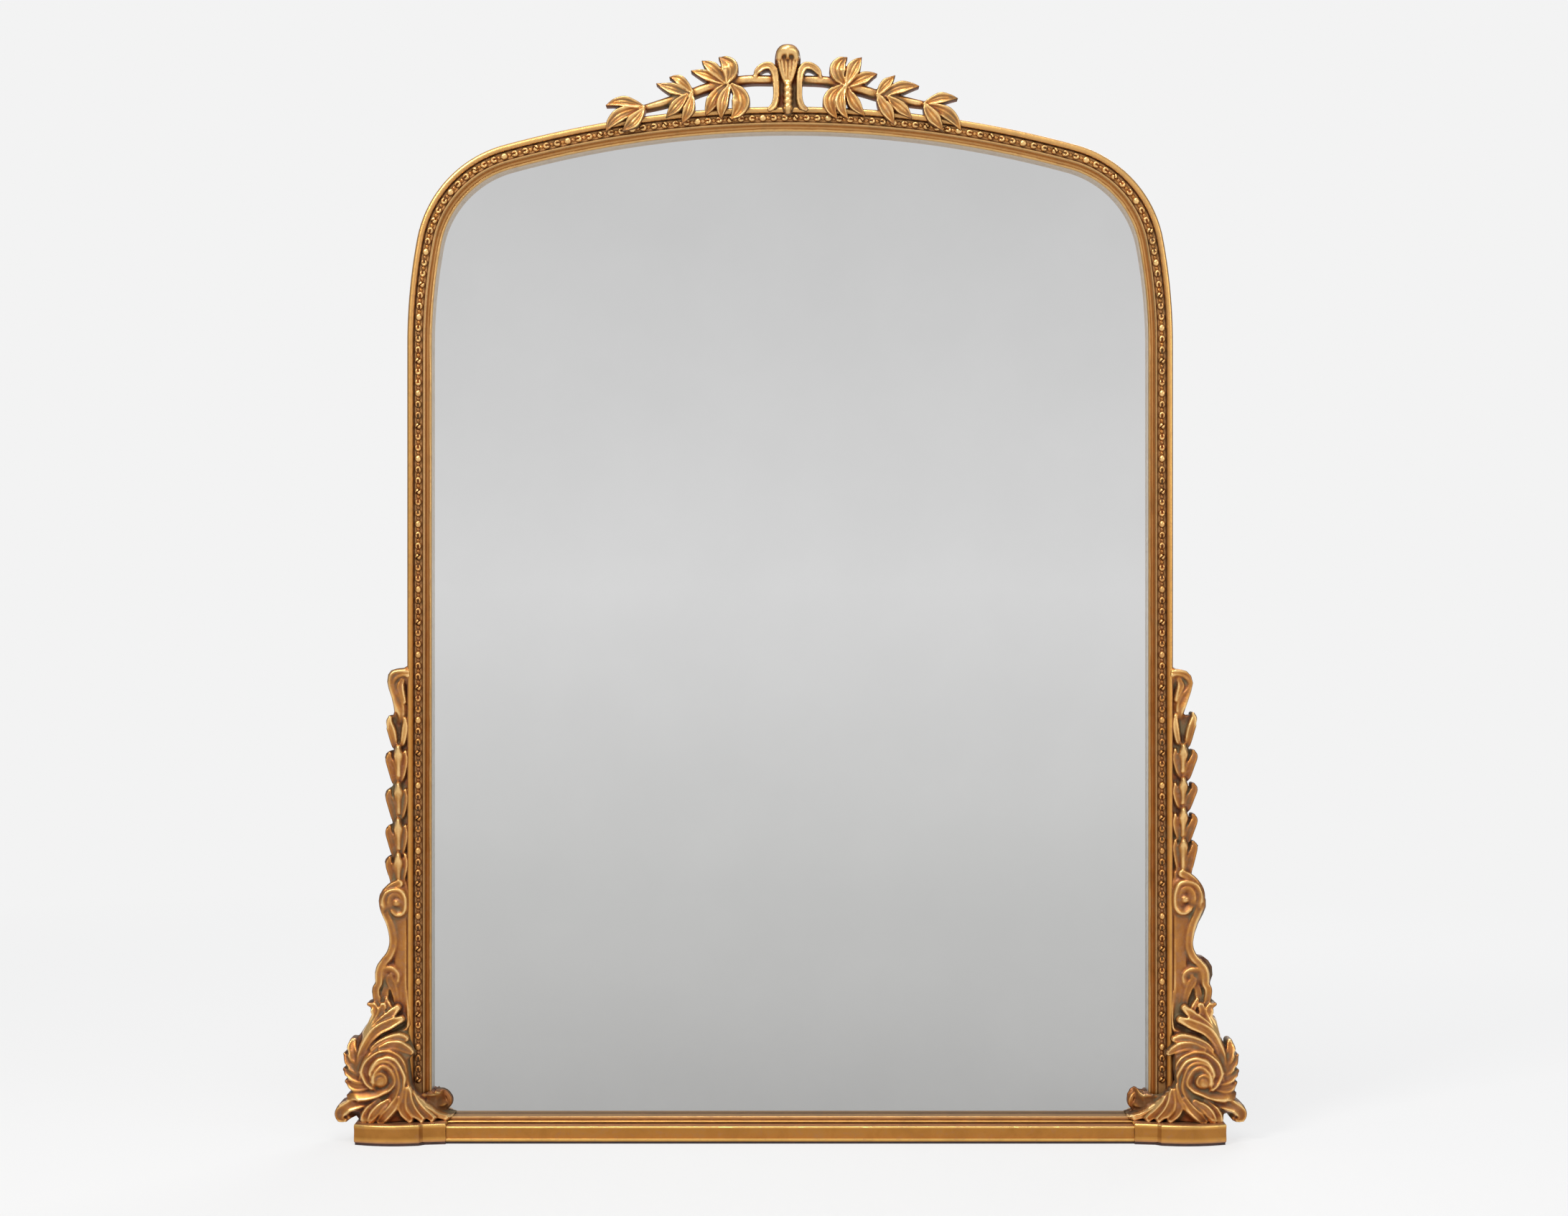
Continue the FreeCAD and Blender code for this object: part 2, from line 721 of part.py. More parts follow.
PALMETTE_LOBES = [
    # the hood, the shell's outer flutes, its middle flute, the stem and the ground
    (-21, -24, [(-11.5, 906, 2), (-7.5, 910, 4), (3.5, 910, 4), (7.5, 906, 2)]),
    (-14, -17, [(-4, 882, 2), (-9.5, 905, 3.2)]),
    (-14, -17, [(0, 882, 2), (5.5, 905, 3.2)]),
    (-15, -18, [(-2, 880, 2), (-2, 906, 4)]),
    (-17, -20, [(-2, 859, 2.6), (-2, 882, 3.4)]),
    (-12, -12, [(-2, 858, 8), (-2, 880, 8), (-2, 908, 9.5)]),
    # the two C scrolls
    (-13, -16, [(-27.5, 888.5, 2.4), (-22, 895, 2.8), (-13.5, 892, 3), (-11.8, 877, 2.6), (-14, 861, 2.6)]),
    (-13, -16, [(23.5, 889.5, 2.4), (18, 895.5, 2.8), (9.8, 892.5, 3), (8.2, 877, 2.6), (11, 861, 2.6)]),
]

LEFT_SPRAY_LOBES = [
    # the branch, then the leaves from the crest's middle outward
    (-9, -12, [(-14, 884, 3.8), (-52, 883, 4), (-84, 873, 4), (-123, 861.5, 3.2)]),
    (-16, -13, [(-54, 882, 1.6), (-68, 887.5, 3.8), (-81.5, 892.4, 0.8)]),
    (-17, -14, [(-54, 883, 1.6), (-64, 893.5, 4.2), (-72.5, 900.2, 0.8)]),
    (-18, -14, [(-52, 883, 2), (-50.5, 894, 6.4), (-58.5, 902.8, 1)]),
    (-16, -13, [(-54, 880, 1.6), (-63.5, 867.5, 4.8), (-69.5, 855.5, 1)]),
    (-18, -15, [(-51, 879, 1.6), (-56, 864, 3.9), (-57, 853, 1.2)]),
    (-17, -14, [(-48, 880, 2), (-41, 867, 6.4), (-48, 853, 1.5)]),
    (-15, -12, [(-85, 873, 1.6), (-98, 877, 4), (-110.5, 881.8, 0.8)]),
    (-16, -13, [(-82, 875, 1.6), (-91.5, 884, 3.6), (-99.5, 887.3, 1)]),
    (-16, -13, [(-86, 872, 1.6), (-95.5, 861.5, 4.2), (-102.8, 854, 0.8)]),
    (-17, -14, [(-82, 873, 1.6), (-84.5, 859.5, 4.1), (-90, 849, 0.8)]),
    (-15, -12, [(-123, 863, 1.6), (-138, 866.8, 3.8), (-152.5, 864, 0.8)]),
    (-15, -12, [(-123, 861, 1.6), (-142, 855.5, 4.8), (-152.5, 843.5, 1)]),
    (-17, -14, [(-122, 860, 1.6), (-130, 850, 5), (-138.5, 843, 1)]),
]
RIGHT_SPRAY_LOBES = [
    (-9, -12, [(10, 884, 3.8), (46.5, 881, 4), (75, 872.5, 4), (112, 865.5, 3.2)]),
    (-17, -14, [(45, 882, 2), (40, 893, 5.8), (46.5, 902.6, 1)]),
    (-18, -15, [(47, 881, 1.6), (53, 894, 4.8), (59.5, 902.6, 1)]),
    (-16, -13, [(49, 880, 1.6), (61, 886.5, 4.2), (71.5, 890, 0.8)]),
    (-17, -14, [(43, 879, 2), (33, 867, 4.8), (38.5, 853.5, 1.2)]),
    (-18, -15, [(45.5, 878, 1.6), (42, 864, 3.6), (48, 853, 1.2)]),
    (-16, -13, [(48, 877, 1.6), (53.5, 865, 4.4), (61.5, 855.8, 0.8)]),
    (-16, -13, [(73, 873, 1.6), (80.5, 882, 3.7), (86.8, 888, 0.8)]),
    (-15, -12, [(79, 872, 1.6), (93, 879, 4.3), (106.5, 880, 0.8)]),
    (-17, -14, [(73, 872, 1.6), (80.5, 859.5, 4.5), (86, 848.5, 0.8)]),
    (-16, -13, [(82, 870, 1.6), (93, 861, 4.2), (101, 853.3, 0.8)]),
    (-15, -12, [(112, 866, 1.6), (126, 870, 3.9), (139, 869.8, 0.8)]),
    (-17, -14, [(112, 865, 1.6), (119.5, 853, 4.6), (126.8, 843, 0.8)]),
    (-15, -12, [(115, 863, 2), (131, 857, 4.5), (141.5, 844.5, 0.8)]),
]

# the point of each table that lands on the frame: the foot at the outer edge, or the crown's top
CORNER_FOOT = (-319.8, 17.2)
CONSOLE_FOOT = (-318.0, 121.0)
HUSK_FOOT = (-318.0, 219.5)
CREST_FOOT = (0.0, 863.2)

# seats that the carvings are cut to
OUT, HALF, FRONT = float(outer_edge), float(half), float(frame_front)
STILE_SEAT = block((-OUT, -HALF), (FRONT, REACH), (-REACH, REACH))
FAN_BACK = float(glass_front - size("fan_stand_off"))
CURL_BACK = float(glass_front - size("curl_play"))
OPENING_SEAT = block((-HALF, 0), (FAN_BACK, REACH), (-REACH, REACH))
PLINTH_SEAT = block((-float(plinth_outer), 0), (-REACH, REACH), (-REACH, float(plinth_top)))
CROWN_SEAT = Part.makeCylinder(
    CROWN + float(width), REACH, Vector(0, FRONT, float(crown_centre)), Vector(0, 1, 0)
)
SIDE_SEAT = float(size("side_seat"))
CREST_SEAT = float(size("crest_seat"))


def shifted(lobes, dx, dz):
    """The lobes moved sideways by dx and up by dz."""
    moved = []
    for edge, middle, knots in lobes:
        moved.append((edge, middle, [(x + dx, z + dz, reach) for x, z, reach in knots]))
    return moved


def spot(x, z, drawn, at):
    """Where a spot of a table lands when the table's point drawn lands at the point at."""
    return at[0] + (x - drawn[0]) * UNIT, at[1] + (z - drawn[1]) * UNIT


def landed(lobes, drawn, at):
    """The lobes of a table in millimetres, with its point drawn at the point at."""
    moved = []
    for edge, middle, knots in lobes:
        knots = [(*spot(x, z, drawn, at), reach * UNIT) for x, z, reach in knots]
        moved.append((edge * UNIT, middle * UNIT, knots))
    return moved


def eye_at(eye, drawn, at):
    """The eye of a volute, from its table."""
    x, z, radius, front = eye
    return boss(*spot(x, z, drawn, at), radius * UNIT, SIDE_SEAT, front * UNIT)


def mirrored_shape(shape):
    return shape.mirror(Vector(0, 0, 0), Vector(1, 0, 0))


# the side carvings stand on each other, and each table's foot lands on the frame's outer edge
UNIT = float(size("carving_unit"))
corner_foot = float(plinth_top)
console_foot = corner_foot + float(size("corner_height"))
husk_foot = console_foot + float(size("console_height"))
CORNER_LANDS = (CORNER_FOOT, (-OUT, corner_foot))
CONSOLE_LANDS = (CONSOLE_FOOT, (-OUT, console_foot))
HUSKS_LAND = (HUSK_FOOT, (-OUT, husk_foot))
CREST_LANDS = (CREST_FOOT, (0.0, float(crest_z + width)))


def band(low, high):
    """All that lies between two heights."""
    return block((-REACH, 0), (-REACH, REACH), (low, high))


corner = carved(landed(CORNER_LOBES, *CORNER_LANDS), SIDE_SEAT)
corner = corner.fuse(eye_at(CORNER_EYE, *CORNER_LANDS)).removeSplitter()
corner = corner.cut([STILE_SEAT, OPENING_SEAT, PLINTH_SEAT, band(console_foot, REACH)])
corner = corner.fuse(carved(landed(CURL_LOBES, *CORNER_LANDS), CURL_BACK).cut(STILE_SEAT))
console = carved(landed(CONSOLE_LOBES, *CONSOLE_LANDS), SIDE_SEAT)
console = console.fuse(eye_at(CONSOLE_EYE, *CONSOLE_LANDS)).removeSplitter()
console = console.cut([STILE_SEAT, band(-REACH, console_foot), band(husk_foot, REACH)])
husk_lobes = [HUSK_GROUND, *TOP_SCROLL]
for top in HUSK_TOPS:
    husk_lobes += shifted(HUSK_PETALS, HUSK_X, top)
husks = carved(landed(husk_lobes, *HUSKS_LAND), SIDE_SEAT).cut([STILE_SEAT, band(-REACH, husk_foot)])

palmette = carved(landed(PALMETTE_LOBES, *CREST_LANDS), CREST_SEAT).cut(CROWN_SEAT)
left_spray = carved(landed(LEFT_SPRAY_LOBES, *CREST_LANDS), CREST_SEAT).cut([CROWN_SEAT, palmette])
right_spray = carved(landed(RIGHT_SPRAY_LOBES, *CREST_LANDS), CREST_SEAT).cut([CROWN_SEAT, palmette])

# ---------------------------------------------------------------- dowels
dowel_reach = size("dowel_length") / 2
dowel_y = back - size("dowel_depth")
DOWEL_BORE = size("dowel_width") + 2 * size("thread_play")
SIDE_DOWELS = {
    "corner_volute": corner_foot + float(size("corner_dowel")),
    "console": console_foot + float(size("console_dowel")),
    "husk_chain": husk_foot + float(size("husk_dowel")),
}
CREST_DOWELS = {
    "crest_palmette": -float(size("palmette_dowel")),
    "left_crest_spray": -float(size("left_spray_dowel")),
    "right_crest_spray": float(size("right_spray_dowel")),
}


def side_dowel(sign, z, wide):
    start = (sign * (OUT - float(dowel_reach)), float(dowel_y), z)
    return rod(start, (sign, 0, 0), float(size("dowel_length")), wide)


def crest_dowel(x, wide):
    top = float(crown_centre) + math.sqrt((CROWN + float(width)) ** 2 - x**2)
    start = (x, float(dowel_y), top - float(dowel_reach))
    return rod(start, (0, 0, 1), float(size("dowel_length")), wide)


DOWEL = float(size("dowel_width"))
BORE = float(DOWEL_BORE)
for side, sign in (("left", -1), ("right", 1)):
    for name, shape in (("corner_volute", corner), ("console", console), ("husk_chain", husks)):
        shape = shape if sign < 0 else mirrored_shape(shape)
        feature(side + "_" + name, shape.cut(side_dowel(sign, SIDE_DOWELS[name], BORE)))
for name, shape in (
    ("crest_palmette", palmette), ("left_crest_spray", left_spray), ("right_crest_spray", right_spray)
):
    feature(name, shape.cut(crest_dowel(CREST_DOWELS[name], BORE)))
side_dowels = [side_dowel(sign, z, DOWEL) for sign in (-1, 1) for z in SIDE_DOWELS.values()]
feature("side_dowels", Part.makeCompound(side_dowels))
feature("crest_dowels", Part.makeCompound([crest_dowel(x, DOWEL) for x in CREST_DOWELS.values()]))

# ---------------------------------------------------------------- screws, clips, bumpers, hangers
shank, thread_play, plate_play = size("screw_shank"), size("thread_play"), size("plate_play")
screw_reach = size("screw_length")
plate = float(size("clip_thickness"))


def screw_at(x, y, z):
    """A screw whose head stands on the plane y and whose shank runs towards -Y."""
    head = rod((x, y, z), (0, 1, 0), float(size("screw_head_height")), float(size("screw_head")))
    return head.fuse(rod((x, y, z), (0, -1, 0), float(screw_reach), float(shank)))


def outward(x, z, angle):
    """A place on the sight edge and the direction away from the opening."""
    return x, z, math.cos(angle), math.sin(angle)


CLIP_SPOTS = {"left_stile": [], "right_stile": [], "base_rail": [], "arched_rail": []}
for z in (float(size("low_clip")), float(size("high_clip"))):
    CLIP_SPOTS["left_stile"].append(outward(-HALF, z, math.pi))
    CLIP_SPOTS["right_stile"].append(outward(HALF, z, 0.0))
for sign in (-1, 1):
    x = sign * float(size("clip_spread")) / 2
    CLIP_SPOTS["base_rail"].append(outward(x, float(size("sight_bottom")), -math.pi / 2))
    tilt = math.acos(x / CROWN)
    CLIP_SPOTS["arched_rail"].append(outward(x, float(crown_centre) + CROWN * math.sin(tilt), tilt))

long, wide = float(size("clip_length")), float(size("clip_width"))
hold = float(size("clip_screw_offset"))
clip_end = hold + wide / 2
clips, clip_screws = [], []
for spots in CLIP_SPOTS.values():
    for x, z, ux, uz in spots:
        strip = Part.makeBox(long, plate, wide, Vector(clip_end - long, float(back), -wide / 2))
        strip = strip.cut(rod((hold, float(back), 0), (0, 1, 0), plate, float(shank + plate_play)))
        strip.Placement = Placement(Vector(x, 0, z), Rotation(FRONT_AXIS, math.degrees(math.atan2(uz, ux))))
        clips.append(strip)
        clip_screws.append(screw_at(x + hold * ux, float(back) + plate, z + hold * uz))
feature("board_clips", Part.makeCompound(clips))
feature("clip_screws", Part.makeCompound(clip_screws))

hanger_z, strap_thick = spring_height - size("hanger_below_spring"), size("strap_thickness")
eye_outer = size("ring_wire") / 2 + size("hinge_play") + strap_thick
hinge_y = back + eye_outer
hanger_x = half + size("hanger_offset")
STRAP_SCREWS = (float(size("first_strap_screw")), float(size("second_strap_screw")))
strap_half, strap_drop = float(size("strap_width")) / 2, float(size("strap_length"))
EYE_SIDES = 12
straps, hanger_screws = [], []
for sign in (-1, 1):
    x, z = sign * float(hanger_x), float(hanger_z)
    strap_y = (float(back), float(back + strap_thick))
    strap = block((x - strap_half, x + strap_half), strap_y, (z - strap_drop, z))
    eye_foot = (x - strap_half, float(hinge_y), z)
    strap = strap.fuse(rod(eye_foot, (1, 0, 0), 2 * strap_half, 2 * float(eye_outer), EYE_SIDES))
    bore = float(size("ring_wire") + 2 * size("hinge_play")) / math.cos(math.pi / EYE_SIDES)
    strap = strap.cut(rod(eye_foot, (1, 0, 0), 2 * strap_half, bore, EYE_SIDES))
    for drop in STRAP_SCREWS:
        hole = rod((x, float(back), z - drop), (0, 1, 0), float(strap_thick), float(shank + plate_play))
        strap = strap.cut(hole)
        hanger_screws.append(screw_at(x, float(back + strap_thick), z - drop))
    straps.append(strap)
feature("hanger_straps", Part.makeCompound(straps))
feature("hanger_screws", Part.makeCompound(hanger_screws))


BOW_CHORDS = 6


def hanger_ring(label, x):
    """A D ring of six-sided wire that hangs from its straight bar, which is at the body's origin."""
    body = new_body(label)
    section = new_sketch(body, "section", "YZ_Plane")
    radius = float(size("ring_wire")) / 2
    corners = [(radius * math.cos(k * math.pi / 3), radius * math.sin(k * math.pi / 3)) for k in range(6)]
    outline(section, corners)
    path = new_sketch(body, "path", "XZ_Plane")
    arm = float(size("ring_inside") + size("ring_wire")) / 2
    bend = float(size("ring_bend"))
    low = float(size("ring_drop")) + radius - arm
    bow = [math.pi * k / BOW_CHORDS for k in range(BOW_CHORDS + 1)]
    bow = [(arm * math.cos(a), -low - arm * math.sin(a)) for a in bow]
    corners = [(0, 0), (arm - bend, 0), (arm, -bend), *bow, (-arm, -bend), (bend - arm, 0), (0, 0)]
    for (x0, z0), (x1, z1) in zip(corners, corners[1:]):
        path.addGeometry(Part.LineSegment(Vector(x0, z0, 0), Vector(x1, z1, 0)))
    sweep = body.newObject("PartDesign::AdditivePipe", label + "_sweep")
    sweep.Profile = section
    sweep.Spine = path
    sweep.Transition = "Right corner"
    body.Tip = sweep
    place(body, x, hinge_y, hanger_z)


hanger_ring("left_hanger_ring", -hanger_x)
hanger_ring("right_hanger_ring", hanger_x)

bumper_wide, bumper_high = size("bumper_width"), size("bumper_height")
high_bumper = hanger_z - size("bumper_below_hanger")
bumpers = [
    rod((sign * float(hanger_x), float(back), z), (0, 1, 0), float(bumper_high), float(bumper_wide), 16)
    for sign in (-1, 1) for z in (float(size("low_bumper")), float(high_bumper))
]
feature("wall_bumpers", Part.makeCompound(bumpers))

# ---------------------------------------------------------------- holes in the rails, notches in the base
PILOT = shank + 2 * thread_play


def pilot(label, x, z, plate_thick):
    """A screw hole into the frame's back."""
    return drill_tool(label, (x, back + plate_thick - screw_reach, z), (0, 1, 0), screw_reach, PILOT)


def clip_pilots(rail):
    return [
        pilot("%s_pilot_%d" % (rail, i), x + hold * ux, z + hold * uz, size("clip_thickness"))
        for i, (x, z, ux, uz) in enumerate(CLIP_SPOTS[rail])
    ]


for side, sign, blank in (("left", -1, left_stile), ("right", 1, right_stile)):
    tools = clip_pilots(side + "_stile")
    for i, drop in enumerate(STRAP_SCREWS):
        tools.append(pilot("%s_strap_pilot_%d" % (side, i), hanger_x * sign, hanger_z - drop, strap_thick))
    for i, z in enumerate(SIDE_DOWELS.values()):
        start = (sign * (outer_edge - dowel_reach), dowel_y, z)
        label = "%s_dowel_bore_%d" % (side, i)
        tools.append(drill_tool(label, start, (sign, 0, 0), size("dowel_length"), DOWEL_BORE))
    cut(side + "_stile", blank, tools)

arch_tools = clip_pilots("arched_rail")
for i, x in enumerate(CREST_DOWELS.values()):
    top = float(crown_centre) + math.sqrt((CROWN + float(width)) ** 2 - x**2)
    start = (x, dowel_y, top - dowel_reach)
    arch_tools.append(drill_tool("crest_bore_%d" % i, start, (0, 0, 1), size("dowel_length"), DOWEL_BORE))
cut("arched_rail", arch, arch_tools)

# the base rail's ends lap under the stiles; the plinths hold the rest of the lap
deep = (rail_front - size("rail_lip"), back)
rebate_edge = half + size("rebate_width")
base_tools = clip_pilots("base_rail")
for side, x in (("left", (-half, -plinth_inner)), ("right", (plinth_inner, half))):
    base_tools.append(box_tool(side + "_base_notch", x, deep, (pad_top, plinth_top)))
cut("base_rail", base_rail_body, base_tools)
for side, x, blank in (
    ("left", (-rebate_edge, -plinth_inner), plinth_blanks[0]),
    ("right", (plinth_inner, rebate_edge), plinth_blanks[1]),
):
    rebate = box_tool(side + "_plinth_rebate", x, (glass_front, back), (rebate_floor, plinth_top))
    cut(side + "_plinth", blank, [rebate])

# ---------------------------------------------------------------- checks and files
PARTS = [
    "base_pad", "base_rail", "left_plinth", "right_plinth", "left_stile", "right_stile", "arched_rail",
    "left_stile_beads", "right_stile_beads", "arch_beads",
    "mirror_glass", "backing_board", "board_clips", "clip_screws",
    "crest_palmette", "left_crest_spray", "right_crest_spray", "crest_dowels",
    "left_corner_volute", "right_corner_volute", "left_console", "right_console",
    "left_husk_chain", "right_husk_chain", "side_dowels",
    "hanger_straps", "hanger_screws", "left_hanger_ring", "right_hanger_ring", "wall_bumpers",
]
doc.recompute()
faults = [o.Name for o in doc.Objects if {"Invalid", "Error"} & set(o.State)]
if faults:
    raise RuntimeError("failed objects: " + ", ".join(faults))
os.makedirs("parts", exist_ok=True)
for label in PARTS:
    shape = doc.getObjectsByLabel(label)[0].Shape
    if shape.isNull() or not shape.isValid() or not shape.Solids:
        raise RuntimeError("bad shape: " + label)
    shape.exportStep("parts/%s.step" % label)
    print("%-24s %3d solids %9.0f mm3" % (label, len(shape.Solids), shape.Volume))
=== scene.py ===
"""Looks of the arched trumeau mirror: carved relief, beaded moulding, gilding and silvered glass.

The carvings are drawn in millimetres, as the photograph shows them on the plane DRAWN_Y. They are
then moved to the depth where they sit. Heights are millimetres in front of the plane y = 0.
"""
import math

import bmesh
import bpy
import numpy as np
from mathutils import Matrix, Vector, noise


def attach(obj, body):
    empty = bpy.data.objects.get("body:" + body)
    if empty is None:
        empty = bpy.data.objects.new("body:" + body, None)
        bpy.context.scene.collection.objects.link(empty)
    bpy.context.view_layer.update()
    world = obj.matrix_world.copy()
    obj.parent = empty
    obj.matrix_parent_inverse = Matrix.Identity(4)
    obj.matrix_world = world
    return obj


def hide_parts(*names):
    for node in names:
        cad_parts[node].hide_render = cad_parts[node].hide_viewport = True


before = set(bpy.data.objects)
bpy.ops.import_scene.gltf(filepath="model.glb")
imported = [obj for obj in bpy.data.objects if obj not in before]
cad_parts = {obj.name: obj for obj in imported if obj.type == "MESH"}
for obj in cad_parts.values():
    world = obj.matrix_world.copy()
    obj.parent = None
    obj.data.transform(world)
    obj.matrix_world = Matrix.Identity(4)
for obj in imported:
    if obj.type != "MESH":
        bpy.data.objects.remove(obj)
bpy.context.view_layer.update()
MM = 0.001

# ------------------------------------------------------------------ camera, in millimetres
CAMERA_X, CAMERA_Z = -5.1, 445.3
CAMERA_DISTANCE = 2640.0
DRAWN_Y = -24.0
PICTURE_WIDTH = 1301.9
SENSOR = 36.0


def placed(x, z, y):
    """Where a point drawn at x, z really is when it sits at depth y."""
    grow = (CAMERA_DISTANCE + y - DRAWN_Y) / CAMERA_DISTANCE
    return CAMERA_X + (x - CAMERA_X) * grow, CAMERA_Z + (z - CAMERA_Z) * grow


# ------------------------------------------------------------------ mesh helpers
def new_mesh(name, vertices, faces, hollow=None, sharp=50.0, tones=None):
    """A mesh object from points in millimetres, smooth but for edges over the sharp angle."""
    mesh = bpy.data.meshes.new(name)
    mesh.from_pydata((np.asarray(vertices, float) * MM).tolist(), [], faces)
    mesh.validate()
    mesh.shade_smooth()
    mesh.set_sharp_from_angle(angle=math.radians(sharp))
    if hollow is not None:
        layer = mesh.attributes.new("hollow", "FLOAT", "POINT")
        layer.data.foreach_set("value", np.asarray(hollow, np.float32))
    if tones is not None:
        layer = mesh.attributes.new("tone", "FLOAT_COLOR", "POINT")
        layer.data.foreach_set("color", np.asarray(tones, np.float32).ravel())
    piece = bpy.data.objects.new(name, mesh)
    bpy.context.scene.collection.objects.link(piece)
    return piece


def dress(piece, material, slot, *nodes, body="frame", back=None):
    """Gives a piece its material, hangs it on its body's empty and hides the nodes it stands for.

    The faces that look to the rear take the material named back."""
    piece.data.materials.clear()
    piece.data.materials.append(material)
    if back:
        piece.data.materials.append(back)
        normals = np.zeros(3 * len(piece.data.polygons), np.float32)
        piece.data.polygons.foreach_get("normal", normals)
        piece.data.polygons.foreach_set("material_index", (normals[1::3] > 0.7).astype(np.int32))
    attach(piece, body)
    if nodes:
        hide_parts(*nodes)
    return piece


def smooth_line(points, step=0.8):
    """A smooth curve through points, sampled about every step; the columns after x, z follow along."""
    points = np.asarray(points, float)
    if len(points) == 2:
        count = max(2, int(np.hypot(*(points[1] - points[0])[:2]) / step))
        return points[0] + (points[1] - points[0]) * np.linspace(0, 1, count)[:, None]
    ends = np.vstack([2 * points[0] - points[1], points, 2 * points[-1] - points[-2]])
    line = []
    for a, b, c, d in zip(ends, ends[1:], ends[2:], ends[3:]):
        count = max(2, int(np.hypot(*(c - b)[:2]) / step))
        t = np.linspace(0, 1, count, endpoint=False)[:, None]
        line.append(0.5 * (2 * b + (c - a) * t + (2 * a - 5 * b + 4 * c - d) * t**2
                           + (3 * b - a - 3 * c + d) * t**3))
    return np.vstack([*line, points[-1:]])


def blurred(values, weights, radius):
    """A Gaussian blur of values that counts only where weights are set."""
    reach = max(1, int(3 * radius))
    kernel = np.exp(-0.5 * (np.arange(-reach, reach + 1) / radius) ** 2)

    def along(field, axis):
        pads = [(reach, reach) if a == axis else (0, 0) for a in (0, 1)]
        wide = np.pad(field, pads)
        total = np.zeros_like(field)
        for k, weight in enumerate(kernel):
            total += weight * (wide[k:k + field.shape[0]] if axis == 0 else wide[:, k:k + field.shape[1]])
        return total

    top = along(along(values * weights, 0), 1)
    bottom = along(along(weights.astype(float), 0), 1)
    return top / np.maximum(bottom, 1e-9)


# ------------------------------------------------------------------ relief carving
LOW = -60.0  # the height where nothing is carved
OUTSIDE = -50.0
GRID = 0.45
DEEPEST = 10.4  # the depth y that no front passes, just before the glass
THINNEST = 0.5
ROUNDED = 1.6  # how far in from its outline a carving is rounded over
LEDGE = 4.0  # how far in from a ground's outline the distance to it counts
FINE, BROAD = 1.1, 3.5  # the two widths over which a spot is compared with what surrounds it
OPEN_CURL = ((0, 303), (26, 60))  # where |x| and z are by the curl over the glass, whose painted shade is held light
# how hollow a carving's back counts; its walls take part of it, a painted shade darkening towards the back
BACK_HOLLOW = 0.75


